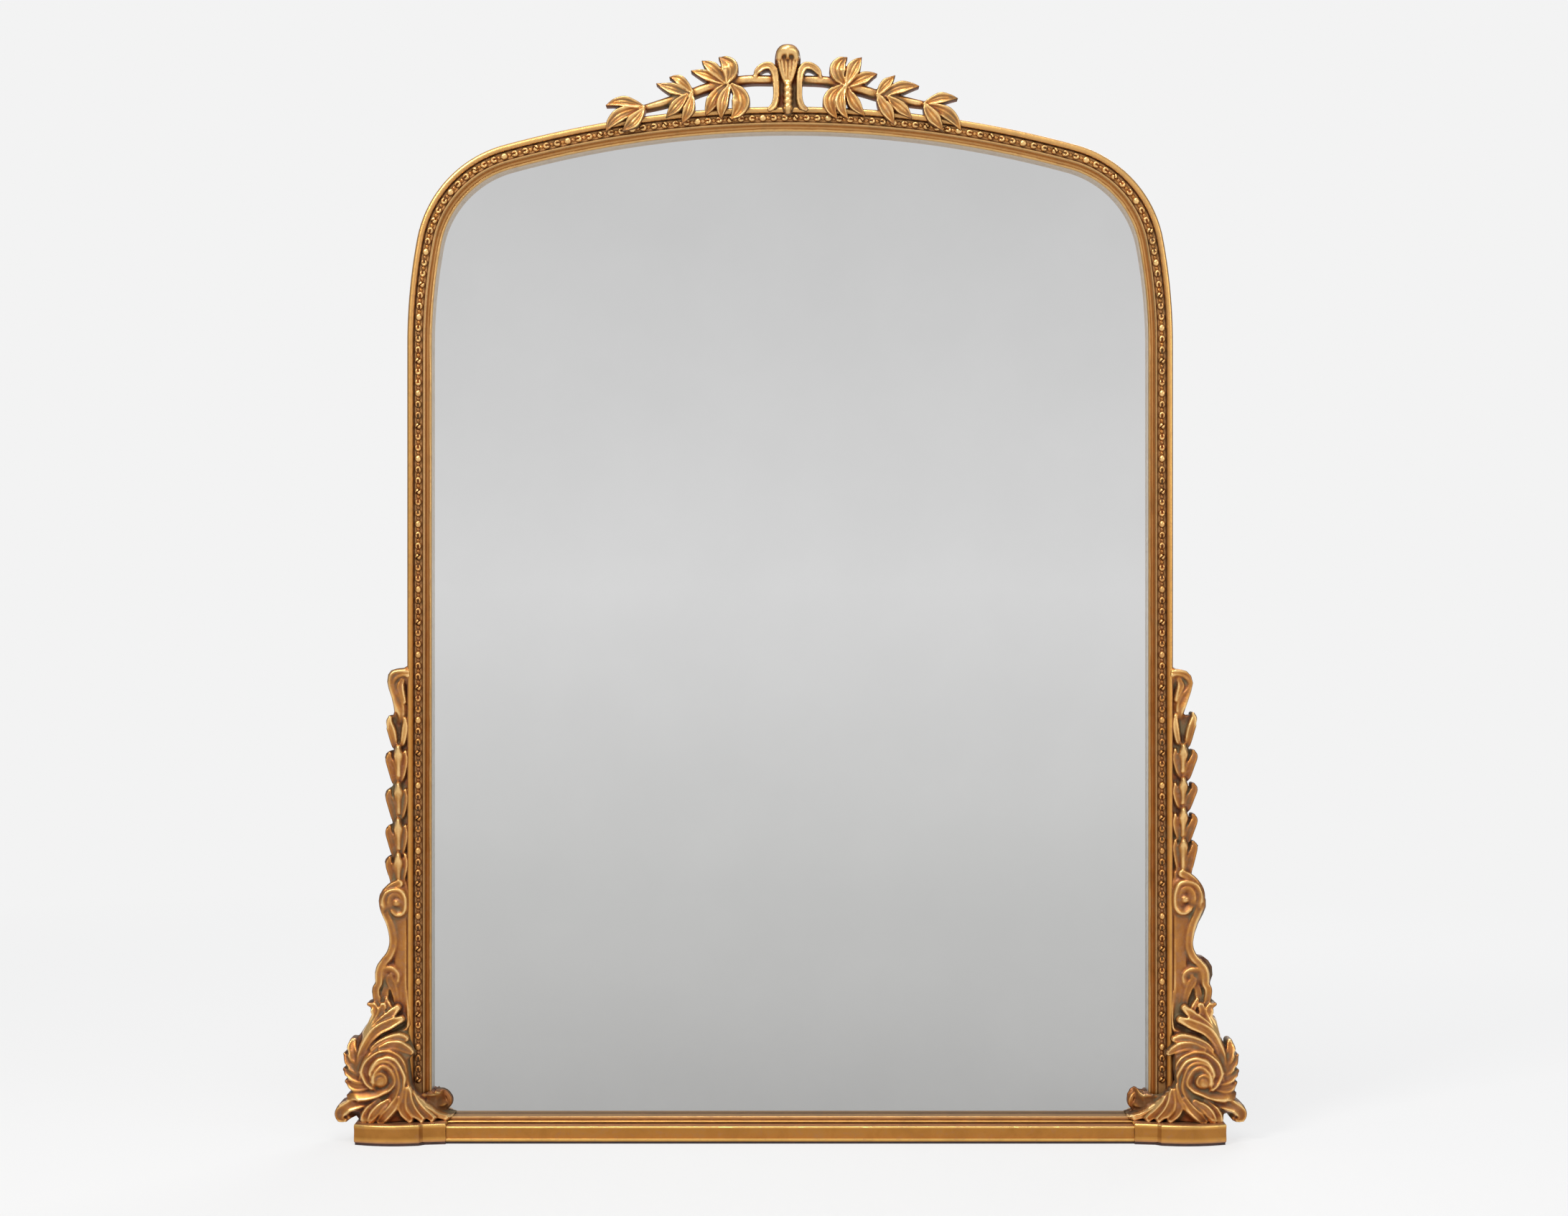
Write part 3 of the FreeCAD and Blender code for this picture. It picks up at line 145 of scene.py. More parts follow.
class Relief:
    """A carving as heights on a fine grid, with the distance inside its outline."""

    plump = 1.0  # how much wider than drawn the leaves are

    def __init__(self, x_range, z_range):
        self.x = np.arange(x_range[0], x_range[1] + GRID, GRID)
        self.z = np.arange(z_range[0], z_range[1] + GRID, GRID)
        self.gx, self.gz = np.meshgrid(self.x, self.z)
        self.height = np.full(self.gx.shape, LOW)
        self.inside = np.full(self.gx.shape, OUTSIDE)

    def window(self, points, reach):
        """The part of the grid within reach of the points."""
        low, high = points[:, :2].min(0) - reach, points[:, :2].max(0) + reach
        columns = slice(*np.searchsorted(self.x, (low[0], high[0])))
        rows = slice(*np.searchsorted(self.z, (low[1], high[1])))
        return rows, columns

    def nearest(self, line, reach):
        """For each grid point by a line: signed distance (left is positive) and the line's values there."""
        where = self.window(line, reach)
        px, pz = self.gx[where], self.gz[where]
        best = np.full(px.shape, 1e9)
        signed = np.zeros(px.shape)
        values = np.zeros(px.shape + (line.shape[1] - 2,))
        for a, b in zip(line, line[1:]):
            dx, dz = b[0] - a[0], b[1] - a[1]
            length = max(math.hypot(dx, dz), 1e-6)
            t = np.clip(((px - a[0]) * dx + (pz - a[1]) * dz) / length**2, 0, 1)
            ox, oz = px - a[0] - t * dx, pz - a[1] - t * dz
            distance = np.hypot(ox, oz)
            closer = distance < best
            best[closer] = distance[closer]
            side = np.where(dx * oz - dz * ox >= 0, 1.0, -1.0)
            signed[closer] = (side * distance)[closer]
            values[closer] = (a[2:] + t[..., None] * (b[2:] - a[2:]))[closer]
        return where, signed, values

    def raise_to(self, where, height):
        self.height[where] = np.maximum(self.height[where], height)

    def stroke(self, points, heights, plump=1.0):
        """Near a stroke of points x, z, half width: where, how far away, half width and height."""
        points = np.asarray(points, float)
        rise = np.interp(np.linspace(0, 1, len(points)), np.linspace(0, 1, len(heights)), heights)
        line = smooth_line(np.column_stack([points, rise]))
        where, signed, values = self.nearest(line, plump * points[:, 2].max() + 1)
        return where, np.abs(signed), plump * values[..., 0], values[..., 1]

    def ridge(self, points, start, end, drop=3.2, steep=1, crest=0.6, reach=11.0, fade=0.03):
        """A sharp raised line whose flanks fall in a hollow curve, quickly on its steep side."""
        points = np.asarray(points, float)
        run = np.concatenate([[0], np.cumsum(np.hypot(*np.diff(points[:, :2], axis=0).T))])
        rise = start + (end - start) * run / run[-1]
        where, signed, values = self.nearest(smooth_line(np.column_stack([points[:, :2], rise])), reach)
        away = np.sqrt(signed**2 + crest**2) - crest
        quick = signed * steep > 0
        rim = 1 - np.exp(-away / 0.9)
        fall = np.where(quick, 1.3 * drop * rim + 0.2 * away, 0.28 * drop * rim + 0.1 * drop * away)
        self.raise_to(where, values[..., 0] - fall - fade * away**2)

    def leaf(self, points, heights, cup=1.6, rib=0.9, rim=0.86):
        """A leaf with a raised rim, a hollow blade and a middle rib."""
        where, away, half, top = self.stroke(points, heights, self.plump)
        wide = np.maximum(half, 0.3)
        across = away / wide
        blade = top - cup * (1 - np.minimum(across / rim, 1) ** 2.4)
        blade += rib * np.exp(-((away / 0.55) ** 2)) * np.clip(1.4 - across, 0, 1)
        over = np.clip((across - rim) / (1 - rim), 0, 1)
        blade -= 1.4 * over**2
        self.raise_to(where, np.where(across <= 1.02, blade, LOW))
        self.inside[where] = np.maximum(self.inside[where], wide - away)

    def dome(self, points, heights, edge=2.5):
        """A rounded bar or button."""
        where, away, half, top = self.stroke(points, heights)
        across = away / np.maximum(half, 0.3)
        bulge = top - edge * (1 - np.sqrt(np.clip(1 - across**2, 0, 1)))
        self.raise_to(where, np.where(across <= 1, bulge, LOW))
        self.inside[where] = np.maximum(self.inside[where], half - away)

    def fill(self, outline, height):
        """A flat ground inside an outline."""
        outline = np.asarray(outline, float)
        within = np.zeros(self.gx.shape, bool)
        near = np.full(self.gx.shape, 1e9)
        for a, b in zip(outline, np.roll(outline, -1, 0)):
            if a[1] != b[1]:
                crossing = (self.gz >= min(a[1], b[1])) & (self.gz < max(a[1], b[1]))
                at = a[0] + (self.gz - a[1]) * (b[0] - a[0]) / (b[1] - a[1])
                within ^= crossing & (self.gx < at)
            where = self.window(np.array([a, b]), LEDGE)
            px, pz = self.gx[where] - a[0], self.gz[where] - a[1]
            dx, dz = b - a
            t = np.clip((px * dx + pz * dz) / max(dx * dx + dz * dz, 1e-9), 0, 1)
            near[where] = np.minimum(near[where], np.hypot(px - t * dx, pz - t * dz))
        near = np.minimum(near, LEDGE)
        self.inside = np.maximum(self.inside, np.where(within, near, -near))
        self.height = np.where(within, np.maximum(self.height, height), self.height)

    def finish(self, soften=0.5):
        """Softens the carving, rounds it over at its outline and works out how deep each spot lies."""
        kept = (self.inside > -1.0) & (self.height > LOW + 1)
        front = blurred(self.height, kept, soften / GRID)
        t = np.clip(self.inside, 0, ROUNDED)
        front -= ROUNDED * (1 - np.sqrt(np.clip(1 - (1 - t / ROUNDED) ** 2, 0, 1)))
        fine = blurred(front, kept, FINE / GRID) - front
        broad = blurred(front, kept, BROAD / GRID) - front
        self.front = front
        # how hollow each spot is, which the gilding paints as shade in the hollows and highlight on the
        # ridges; the curl over the glass keeps its painted shade light
        deep = np.clip(0.42 + np.where(fine > 0, 0.62, 0.3) * fine + 0.14 * broad, 0, 1)
        (_, aside), (low, high) = OPEN_CURL
        by_curl = (np.abs(self.gx) < aside) & (self.gz > low) & (self.gz < high)
        self.hollow = np.where(by_curl, np.minimum(deep, 0.5), deep)

    def piece(self, name, keep, depth, seat):
        """The kept part of the carving as a mesh with walls down to its back at y = seat(x, z)."""
        inner = (self.inside > 0) & (self.height > LOW + 1)
        corner = inner[:-1, :-1] | inner[1:, :-1] | inner[:-1, 1:] | inner[1:, 1:]
        mid_x, mid_z = self.gx[:-1, :-1] + GRID / 2, self.gz[:-1, :-1] + GRID / 2
        cells = np.argwhere(corner & keep(mid_x, mid_z))
        slope_z, slope_x = np.gradient(self.inside, GRID)
        steepness = np.maximum(np.hypot(slope_x, slope_z), 0.3)
        out = np.clip(-self.inside, 0, 1.5 * GRID)
        px = self.gx + slope_x / steepness * out
        pz = self.gz + slope_z / steepness * out
        columns = self.gx.shape[1]
        corners = cells[:, :1] * columns + cells[:, 1:]
        quads = np.hstack([corners, corners + 1, corners + columns + 1, corners + columns])
        used, renumbered = np.unique(quads, return_inverse=True)
        quads = renumbered.reshape(quads.shape)
        x, z = px.ravel()[used], pz.ravel()[used]
        x, z = placed(x, z, depth(x, z))
        front = np.column_stack([x, np.minimum(-self.front.ravel()[used], DEEPEST), z])
        hollow = self.hollow.ravel()[used]
        edges = {}
        for quad in quads.tolist():
            for a, b in zip(quad, quad[1:] + quad[:1]):
                if (b, a) in edges:
                    del edges[(b, a)]
                else:
                    edges[(a, b)] = True
        back = front.copy()
        back[:, 1] = np.maximum(seat(back[:, 0], back[:, 2]), front[:, 1] + THINNEST)
        count = len(front)
        faces = quads.tolist()
        faces += [[b, a, a + count, b + count] for a, b in edges]
        faces += [[a + count for a in quad[::-1]] for quad in quads.tolist()]
        hollow = np.concatenate([hollow, np.full(count, BACK_HOLLOW)])
        return new_mesh(name, np.vstack([front, back]), faces, hollow)


# ------------------------------------------------------------------ materials
def linear(*rgb):
    """A colour written as on a screen, 0 to 255, as Blender wants it."""
    return [((c / 255 + 0.055) / 1.055) ** 2.4 if c > 10 else c / 255 / 12.92 for c in rgb] + [1.0]


class Nodes:
    """Short ways to make and join the nodes of one material or world."""

    def __init__(self, holder):
        holder.use_nodes = True
        self.tree = holder.node_tree

    def node(self, kind):
        return self.tree.nodes.new("ShaderNode" + kind)

    def join(self, source, target):
        """Joins an output, or sets a plain number or colour."""
        if isinstance(source, (int, float, list)):
            target.default_value = source
        else:
            self.tree.links.new(source, target)

    def ramp(self, source, *stops):
        """Colours or greys over a value; a stop is (value, colour or grey)."""
        node = self.node("ValToRGB")
        while len(node.color_ramp.elements) < len(stops):
            node.color_ramp.elements.new(0.5)
        for element, (at, colour) in zip(node.color_ramp.elements, stops):
            element.position = at
            element.color = colour if isinstance(colour, list) else [colour] * 3 + [1]
        self.join(source, node.inputs["Fac"])
        return node.outputs["Color"]

    def mix(self, amount, first, second, blend="MIX"):
        node = self.node("Mix")
        node.data_type = "RGBA"
        node.blend_type = blend
        for index, value in ((0, amount), (6, first), (7, second)):
            self.join(value, node.inputs[index])
        return node.outputs[2]

    def maths(self, operation, *values):
        node = self.node("Math")
        node.operation = operation
        for socket, value in zip(node.inputs, values):
            self.join(value, socket)
        return node.outputs[0]

    def along(self, axis, place):
        """One coordinate of a place."""
        node = self.node("SeparateXYZ")
        self.join(place, node.inputs[0])
        return node.outputs[axis]

    def seen_pale(self):
        """One where a ray comes from the camera, or by way of metal or glass."""
        path = self.node("LightPath").outputs
        seen = self.maths("MAXIMUM", path["Is Camera Ray"], path["Is Glossy Ray"])
        return self.maths("MAXIMUM", seen, path["Is Transmission Ray"])


class Surface(Nodes):
    """A material's nodes, with its shader."""

    def __init__(self, name):
        self.material = bpy.data.materials.new(name)
        super().__init__(self.material)
        self.shader = self.tree.nodes["Principled BSDF"]
        self.place = self.node("TexCoord").outputs["Object"]

    def noise(self, scale, detail=3.0, rough=0.55, distortion=0.0):
        node = self.node("TexNoise")
        for name, value in (
            ("Scale", scale), ("Detail", detail), ("Roughness", rough), ("Distortion", distortion),
        ):
            node.inputs[name].default_value = value
        self.join(self.place, node.inputs["Vector"])
        return node.outputs["Fac"]

    def attribute(self, name, output="Fac"):
        node = self.node("Attribute")
        node.attribute_name = name
        return node.outputs[output]

    def bump(self, height, strength, distance):
        node = self.node("Bump")
        node.inputs["Strength"].default_value = strength
        node.inputs["Distance"].default_value = distance
        self.join(height, node.inputs["Height"])
        self.join(node.outputs["Normal"], self.shader.inputs["Normal"])

    def set(self, **values):
        for name, value in values.items():
            self.join(value, self.shader.inputs[name.replace("_", " ").title().replace("Ior", "IOR")])
        return self.material


# Gilding tones by how hollow a spot is. The ridge tone is partly worn bright gold and partly a painted
# highlight, the lit tone is painted light, and the hollow and deep tones are painted shade, partly the real
# darker gilding of the hollows.
LEAF_RIDGE_HIGHLIGHT = linear(236, 192, 126)
LEAF_LIT = linear(190, 130, 64)
LEAF_MID = linear(152, 94, 44)
LEAF_HOLLOW_SHADE = linear(122, 62, 22)
LEAF_DEEP_SHADE = linear(74, 40, 18)
ROSY = linear(160, 112, 80)
PATINA = linear(112, 98, 68)
SOOT = linear(56, 36, 22)


def gilding(name, toned=False):
    """Old water gilding: bright ridges, partly worn gold and partly painted highlight, orange hollows
    darkened by painted shade, rosy clay and grey-green grime.

    Mouldings bring their own tone for each band of the section, some bands a painted highlight or painted
    shade. Carvings get it from their depth.
    Both grow paler towards the top, a painted light from above."""
    n = Surface(name)
    grain = n.noise(900.0, 4.0, 0.6)
    cloud = n.noise(55.0, 3.0, 0.6, 0.4)
    spots = n.noise(190.0, 4.0, 0.65, 0.5)
    hollow = n.attribute("hollow")
    # painted light from above: the gilding grows paler towards the top
    rise = n.ramp(n.along("Z", n.place), (0.35, 0.0), (0.86, 1.0))
    depth = n.maths("SUBTRACT", hollow, n.maths("MULTIPLY", rise, 0.22))
    for pattern, share in ((cloud, 0.3), (grain, 0.12)):
        depth = n.maths("ADD", depth, n.maths("MULTIPLY", n.maths("SUBTRACT", pattern, 0.5), share))
    if toned:
        # the tone mottles at random with the cloud noise
        shade = n.ramp(cloud, (0.3, 0.8), (0.7, 1.0))
        colour = n.mix(1.0, n.attribute("tone", "Color"), shade, "MULTIPLY")
        # painted highlight: near the top, the moulding's bands that are not hollow pale towards the ridge
        # highlight
        top_highlight = n.maths("MULTIPLY", rise, n.ramp(hollow, (0.48, 0.5), (0.6, 0.0)))
        colour = n.mix(top_highlight, colour, LEAF_RIDGE_HIGHLIGHT)
        colour = n.mix(n.ramp(spots, (0.54, 0.0), (0.7, 0.35)), colour, ROSY)
        colour = n.mix(n.ramp(cloud, (0.55, 0.0), (0.75, 0.3)), colour, PATINA)
    else:
        # painted shade and highlight: a carving darkens with how hollow it is and brightens on its ridges
        colour = n.ramp(
            depth, (0.08, LEAF_RIDGE_HIGHLIGHT), (0.26, LEAF_LIT), (0.44, LEAF_MID), (0.64, LEAF_HOLLOW_SHADE),
            (0.92, LEAF_DEEP_SHADE),
        )
        flat = n.ramp(hollow, (0.12, 0.0), (0.34, 1.0), (0.6, 1.0), (0.85, 0.3))
        rosy = n.maths("MULTIPLY", n.ramp(spots, (0.48, 0.0), (0.66, 0.6)), flat)
        colour = n.mix(rosy, colour, ROSY)
        low = n.ramp(hollow, (0.4, 0.15), (0.62, 1.0))
        green = n.maths("MULTIPLY", n.ramp(cloud, (0.44, 0.0), (0.62, 0.8)), low)
        colour = n.mix(green, colour, PATINA)
    grime = n.ramp(n.noise(330.0, 5.0, 0.75, 0.3), (0.6, 0.0), (0.76, 0.6))
    colour = n.mix(n.maths("MULTIPLY", grime, n.ramp(hollow, (0.3, 0.08), (0.75, 1.0))), colour, SOOT)
    rough = n.ramp(depth, (0.1, 0.3), (0.45, 0.42), (0.8, 0.62))
    n.bump(n.maths("ADD", grain, n.maths("MULTIPLY", spots, 1.5)), 0.25, 0.0004)
    metal = n.ramp(depth, (0.3, 0.8), (0.85, 0.4))
    return n.set(base_color=colour, roughness=rough, metallic=metal, specular_ior_level=0.5)


# height in metres, and the tone of the silver there: a painted reflection, palest at mid-height and darkest
# at the foot
PAINTED_MIRROR_REFLECTION = (
    (0.02, linear(181, 181, 180)), (0.24, linear(207, 207, 206)), (0.46, linear(225, 225, 225)),
    (0.86, linear(207, 207, 207)),
)


def silvered(name):
    """Old mirror glass whose silver tone is a painted reflection, a little darker towards its foot, with
    faint clouding.
    """
    n = Surface(name)
    colour = n.ramp(n.along("Z", n.place), *PAINTED_MIRROR_REFLECTION)
    haze = n.ramp(n.noise(9.0, 4.0, 0.6), (0.35, 0.97), (0.7, 1.0))
    colour = n.mix(1.0, colour, haze, "MULTIPLY")
    return n.set(base_color=colour, roughness=0.02, metallic=1.0)


def board(name):
    """Fibreboard, brown with age, with a faint upright grain."""
    n = Surface(name)
    stretch = n.node("Mapping")
    stretch.inputs["Scale"].default_value = (150.0, 150.0, 8.0)
    n.join(n.place, stretch.inputs["Vector"])
    n.place = stretch.outputs["Vector"]
    grain = n.noise(2.2, 6.0, 0.65, 0.6)
    colour = n.ramp(
        grain, (0.3, linear(112, 82, 54)), (0.5, linear(134, 102, 68)), (0.72, linear(148, 116, 80)),
    )
    n.bump(grain, 0.2, 0.0004)
    return n.set(base_color=colour, roughness=0.75)


def steel(name, tone):
    """Dull fittings with faint rust in patches."""
    n = Surface(name)
    patches = n.noise(300.0, 4.0, 0.7)
    colour = n.ramp(patches, (0.35, tone), (0.62, tone), (0.75, linear(118, 78, 50)))
    n.bump(n.noise(1500.0, 2.0), 0.2, 0.0002)
    return n.set(base_color=colour, roughness=n.ramp(patches, (0.3, 0.32), (0.7, 0.55)), metallic=0.9)


def dull(name, dark, light, scale, rough, depth=0.0003):
    """A matt material: stained wood or rubber."""
    n = Surface(name)
    mottle = n.noise(scale, 4.0, 0.65)
    n.bump(mottle, 0.4, depth)
    return n.set(base_color=n.ramp(mottle, (0.32, dark), (0.7, light)), roughness=rough)


GILT = gilding("gilt_carving")
MOULDED = gilding("gilt_moulding", toned=True)
MIRROR = silvered("mirror_glass")
# near-black pad under the base, partly a painted shadow along its foot
DARK_PAD_AND_SHADOW = dull("dark_base", linear(30, 14, 12), linear(66, 34, 26), 180.0, 0.5)
BOARD = board("backing_board")
STEEL = steel("fitting_steel", linear(150, 148, 144))
RING_STEEL = steel("ring_steel", linear(168, 160, 146))
DOWEL = dull("dowel_wood", linear(140, 104, 66), linear(180, 142, 96), 240.0, 0.7)
CARVING_BACK = dull("carving_back", linear(92, 68, 48), linear(124, 96, 70), 60.0, 0.7)
RUBBER = dull("bumper_rubber", linear(44, 42, 40), linear(64, 61, 58), 400.0, 0.8)

# ------------------------------------------------------------------ the frame's path, in millimetres
SIGHT_HALF, SIGHT_FOOT, SPRING = 300.2, 20.0, 665.7
EASING = (-157.8, SPRING, 458.0)
SHOULDER = (212.77, 735.05, 81.0)
CROWN = (0.0, -43.4, 888.0)
EASE_TURN, CROWN_TURN = math.radians(10.6), math.radians(74.71)
PLINTH_TOP = 17.2
BENDS = (
    (EASING, 0.0, EASE_TURN, 14), (SHOULDER, EASE_TURN, CROWN_TURN, 48),
    (CROWN, CROWN_TURN, math.pi / 2, 60),
)


def straight_path(side, count=90):
    """Places x, z with their outward direction, up one stile."""
    return [(side * SIGHT_HALF, z, side, 0.0) for z in np.linspace(PLINTH_TOP, SPRING, count)]


def arch_path():
    """Places x, z with their outward direction, from the right spring over to the left one."""
    right = []
    for (cx, cz, radius), start, end, count in BENDS:
        for angle in np.linspace(start, end, count, endpoint=False):
            c, s = math.cos(angle), math.sin(angle)
            right.append((cx + radius * c, cz + radius * s, c, s))
    crown = (0.0, CROWN[1] + CROWN[2], 0.0, 1.0)
    return right + [crown] + [(-x, z, -c, s) for x, z, c, s in reversed(right)]


# Tones of the bands. crest and light are painted highlights on rounded tops and edges, line is painted
# shade in the creases at the foot of each step.
TONES = {
    "edge": linear(168, 128, 94), "band": linear(178, 114, 46), "crest": linear(214, 156, 78),
    "line": linear(96, 56, 24), "floor": linear(176, 126, 72), "tan": linear(196, 148, 92),
    "cove": linear(164, 98, 34), "sight": linear(194, 150, 92), "rear": linear(110, 76, 44),
    "rosy": linear(190, 136, 96), "face": linear(176, 118, 50), "light": linear(226, 184, 108),
    "slip": linear(222, 218, 210),
}

# across from the sight edge, height in front of y = 0, tone and how hollow it is
# the crest tone paints a highlight on the outer band's top, the line tones paint shade in its creases
MOULDING = [
    (19.6, -22.0, "rear", 0.6), (19.6, -8.0, "edge", 0.5), (19.6, 7.6, "edge", 0.4),
    (19.5, 8.7, "edge", 0.34), (19.0, 9.5, "rosy", 0.26), (18.2, 10.05, "crest", 0.16),
    (17.0, 10.2, "crest", 0.16), (15.9, 10.1, "band", 0.24), (15.1, 9.6, "band", 0.34),
    (14.6, 8.8, "band", 0.45), (14.35, 7.6, "line", 0.7), (14.25, 6.2, "line", 0.9),
    (13.9, 5.8, "line", 0.9), (13.2, 5.7, "floor", 0.6), (10.6, 5.7, "floor", 0.5),
    (8.2, 5.7, "floor", 0.6), (7.3, 5.8, "line", 0.75), (6.95, 6.2, "cove", 0.6), (6.8, 6.9, "tan", 0.35),
    (6.4, 7.35, "tan", 0.24), (5.8, 7.3, "tan", 0.24), (5.3, 6.6, "tan", 0.3), (5.0, 5.2, "cove", 0.45),
    (4.7, 3.2, "cove", 0.5), (4.3, 1.8, "cove", 0.5), (3.8, 1.0, "cove", 0.5), (3.1, 0.6, "cove", 0.5),
    (2.5, 0.65, "cove", 0.45), (2.15, 0.95, "sight", 0.36), (1.4, 1.15, "sight", 0.3),
    (0.6, 0.85, "sight", 0.34), (0.1, 0.2, "sight", 0.4), (0.0, -0.5, "sight", 0.5),
    (0.0, -1.4, "slip", 0.4), (0.0, -12.0, "slip", 0.4), (7.0, -12.0, "rear", 0.8),
    (7.0, -22.0, "rear", 0.7),
]


def tube(name, vertices, around, hollow, tones):
    """A closed mesh from rings of vertices, each so many around, capped at both ends."""
    faces = []
    for ring in range(0, len(vertices) - around, around):
        for k in range(around):
            a, b = ring + k, ring + (k + 1) % around
            faces.append([a, b, b + around, a + around])
    faces += [list(range(around))[::-1], list(range(len(vertices) - around, len(vertices)))]
    return facing_out(new_mesh(name, vertices, faces, hollow, 35, tones))


def along_profile(profile, count):
    """The hollow and tone of every vertex where a profile is repeated."""
    return [deep for *_, deep in profile] * count, [TONES[tone] for _, _, tone, _ in profile] * count


def swept(name, path, profile, wear=0.16):
    """A moulding along a path, with slight wear on its front."""
    vertices = []
    for x, z, nx, nz in path:
        for across, rise, _, _ in profile:
            px, pz = x + nx * across, z + nz * across
            shown = rise > -1 and 0.3 < across < 19.4
            worn = wear * noise.noise(Vector((px / 7, rise / 4, pz / 7))) if shown else 0
            vertices.append((px, -rise - min(worn, 0.0), pz))
    return tube(name, vertices, len(profile), *along_profile(profile, len(path)))


def facing_out(piece):
    """Turns a closed mesh's faces outward."""
    work = bmesh.new()
    work.from_mesh(piece.data)
    bmesh.ops.recalc_face_normals(work, faces=work.faces)
    work.to_mesh(piece.data)
    work.free()
    return piece


for side, sign in (("left", -1), ("right", 1)):
    dress(
        swept(side + "_stile_moulding", straight_path(sign), MOULDING), MOULDED, "gilt_moulding",
        side + "_stile",
    )
dress(swept("arched_moulding", arch_path(), MOULDING), MOULDED, "gilt_moulding", "arched_rail")

# ------------------------------------------------------------------ beads
BEAD_RINGS, BEAD_TURNS = 7, 18
BEAD_RADIUS, BEAD_LONG, BEAD_FLOOR, BEAD_TOP = 3.0, 3.5, 5.5, 9.7
GROOVE_DEPTH = 2.6


def bead_shape(kind):
    """One bead as x, z, height and hollow: a round stud cut with a curl, a notch or nothing."""
    notch = {"arch": -1, "cup": 1}.get(kind)
    points = []
    for ring in range(BEAD_RINGS + 1):
        share = math.sin(math.pi / 2 * ring / BEAD_RINGS)
        for turn in range(BEAD_TURNS):
            angle = 2 * math.pi * turn / BEAD_TURNS
            x, z = share * BEAD_RADIUS * math.cos(angle), share * BEAD_LONG * math.sin(angle)
            high = BEAD_FLOOR + (BEAD_TOP - BEAD_FLOOR) * math.sqrt(max(1 - share**3.2, 0.0))
            groove = 0.0
            if kind == "curl":
                groove = math.exp(-(((x - 1.3 * math.sin(1.25 * z)) / 0.5) ** 2))
            elif notch:
                groove = math.exp(-((x / 0.7) ** 2)) * min(max((1.6 + notch * z) / 1.6, 0.0), 1.0)
            # painted shade: the gilding darkens in the grooves and round the bead's foot
            deep = min(0.2 + 0.6 * groove + 0.5 * share**8, 1.0)
            points.append((x, z, max(high - GROOVE_DEPTH * groove, BEAD_FLOOR), deep))
    return points


BEADS = {kind: bead_shape(kind) for kind in ("curl", "arch", "round", "cup")}
COURSE = ("curl", "arch", "arch", "round", "cup", "cup")
WEB = [
    (0.58 * x, 0.55 * z, BEAD_FLOOR + 0.4 * (high - BEAD_FLOOR), 0.45)
    for x, z, high, _ in BEADS["round"]
]


def bead_course(name, node, places, first):
    """Beads at places (x, z, turn), in the order of the course, with a low web between neighbours."""
    vertices, faces, hollow = [], [], []

    def stud(points, cx, cz, turn, grow=1.0):
        c, s = math.cos(turn), math.sin(turn)
        base = len(vertices)
        for x, z, high, deep in points:
            vertices.append((cx + grow * (x * c - z * s), -high, cz + grow * (x * s + z * c)))
            hollow.append(deep)
        for ring in range(1, BEAD_RINGS):
            for k in range(BEAD_TURNS):
                a, b = base + ring * BEAD_TURNS + k, base + ring * BEAD_TURNS + (k + 1) % BEAD_TURNS
                faces.append([a, b, b + BEAD_TURNS, a + BEAD_TURNS])
        inner = [base + BEAD_TURNS + k for k in range(BEAD_TURNS)]
        faces.extend([base, inner[(k + 1) % BEAD_TURNS], inner[k]] for k in range(BEAD_TURNS))
        faces.append([base + BEAD_RINGS * BEAD_TURNS + k for k in range(BEAD_TURNS)])

    for i, (cx, cz, turn) in enumerate(places):
        grow = 1 + 0.05 * noise.noise(Vector((cx / 5, 0, cz / 5)))
        stud(BEADS[COURSE[(i + first) % len(COURSE)]], cx, cz, turn, grow)
        stud(WEB, cx - BEAD_PITCH / 2 * math.sin(turn), cz + BEAD_PITCH / 2 * math.cos(turn), turn)
    piece = new_mesh(name, vertices, faces, hollow, 70)
    return dress(facing_out(piece), GILT, "gilt_carving", node)


BEAD_PITCH = 9.1
BEAD_ACROSS = 10.6
BEAD_START = 46.6
STRAIGHT_COUNT = 68
for side, sign in (("left", -1), ("right", 1)):
    gap = (SPRING - BEAD_START) / STRAIGHT_COUNT
    across = sign * (SIGHT_HALF + BEAD_ACROSS)
    places = [(across, BEAD_START + (k + 0.5) * gap, 0.0) for k in range(STRAIGHT_COUNT)]
    bead_course(side + "_stile_bead_course", side + "_stile_beads", places, 0)

runs = [(radius + BEAD_ACROSS) * (end - start) for (_, _, radius), start, end, _ in BENDS]
half_run = sum(runs)
ARCH_COUNT = int(2 * half_run // BEAD_PITCH)
places = []
for k in range(ARCH_COUNT):
    length = (k + 0.5) * 2 * half_run / ARCH_COUNT
    mirror = length > half_run
    length = 2 * half_run - length if mirror else length
    for ((cx, cz, radius), start, end, _), run in zip(BENDS, runs):
        if length <= run:
            break
        length -= run
    angle = start + length / (radius + BEAD_ACROSS)
    x = cx + (radius + BEAD_ACROSS) * math.cos(angle)
    z = cz + (radius + BEAD_ACROSS) * math.sin(angle)
    places.append((-x, z, -angle) if mirror else (x, z, angle))
bead_course("arch_bead_course", "arch_beads", places, 2)

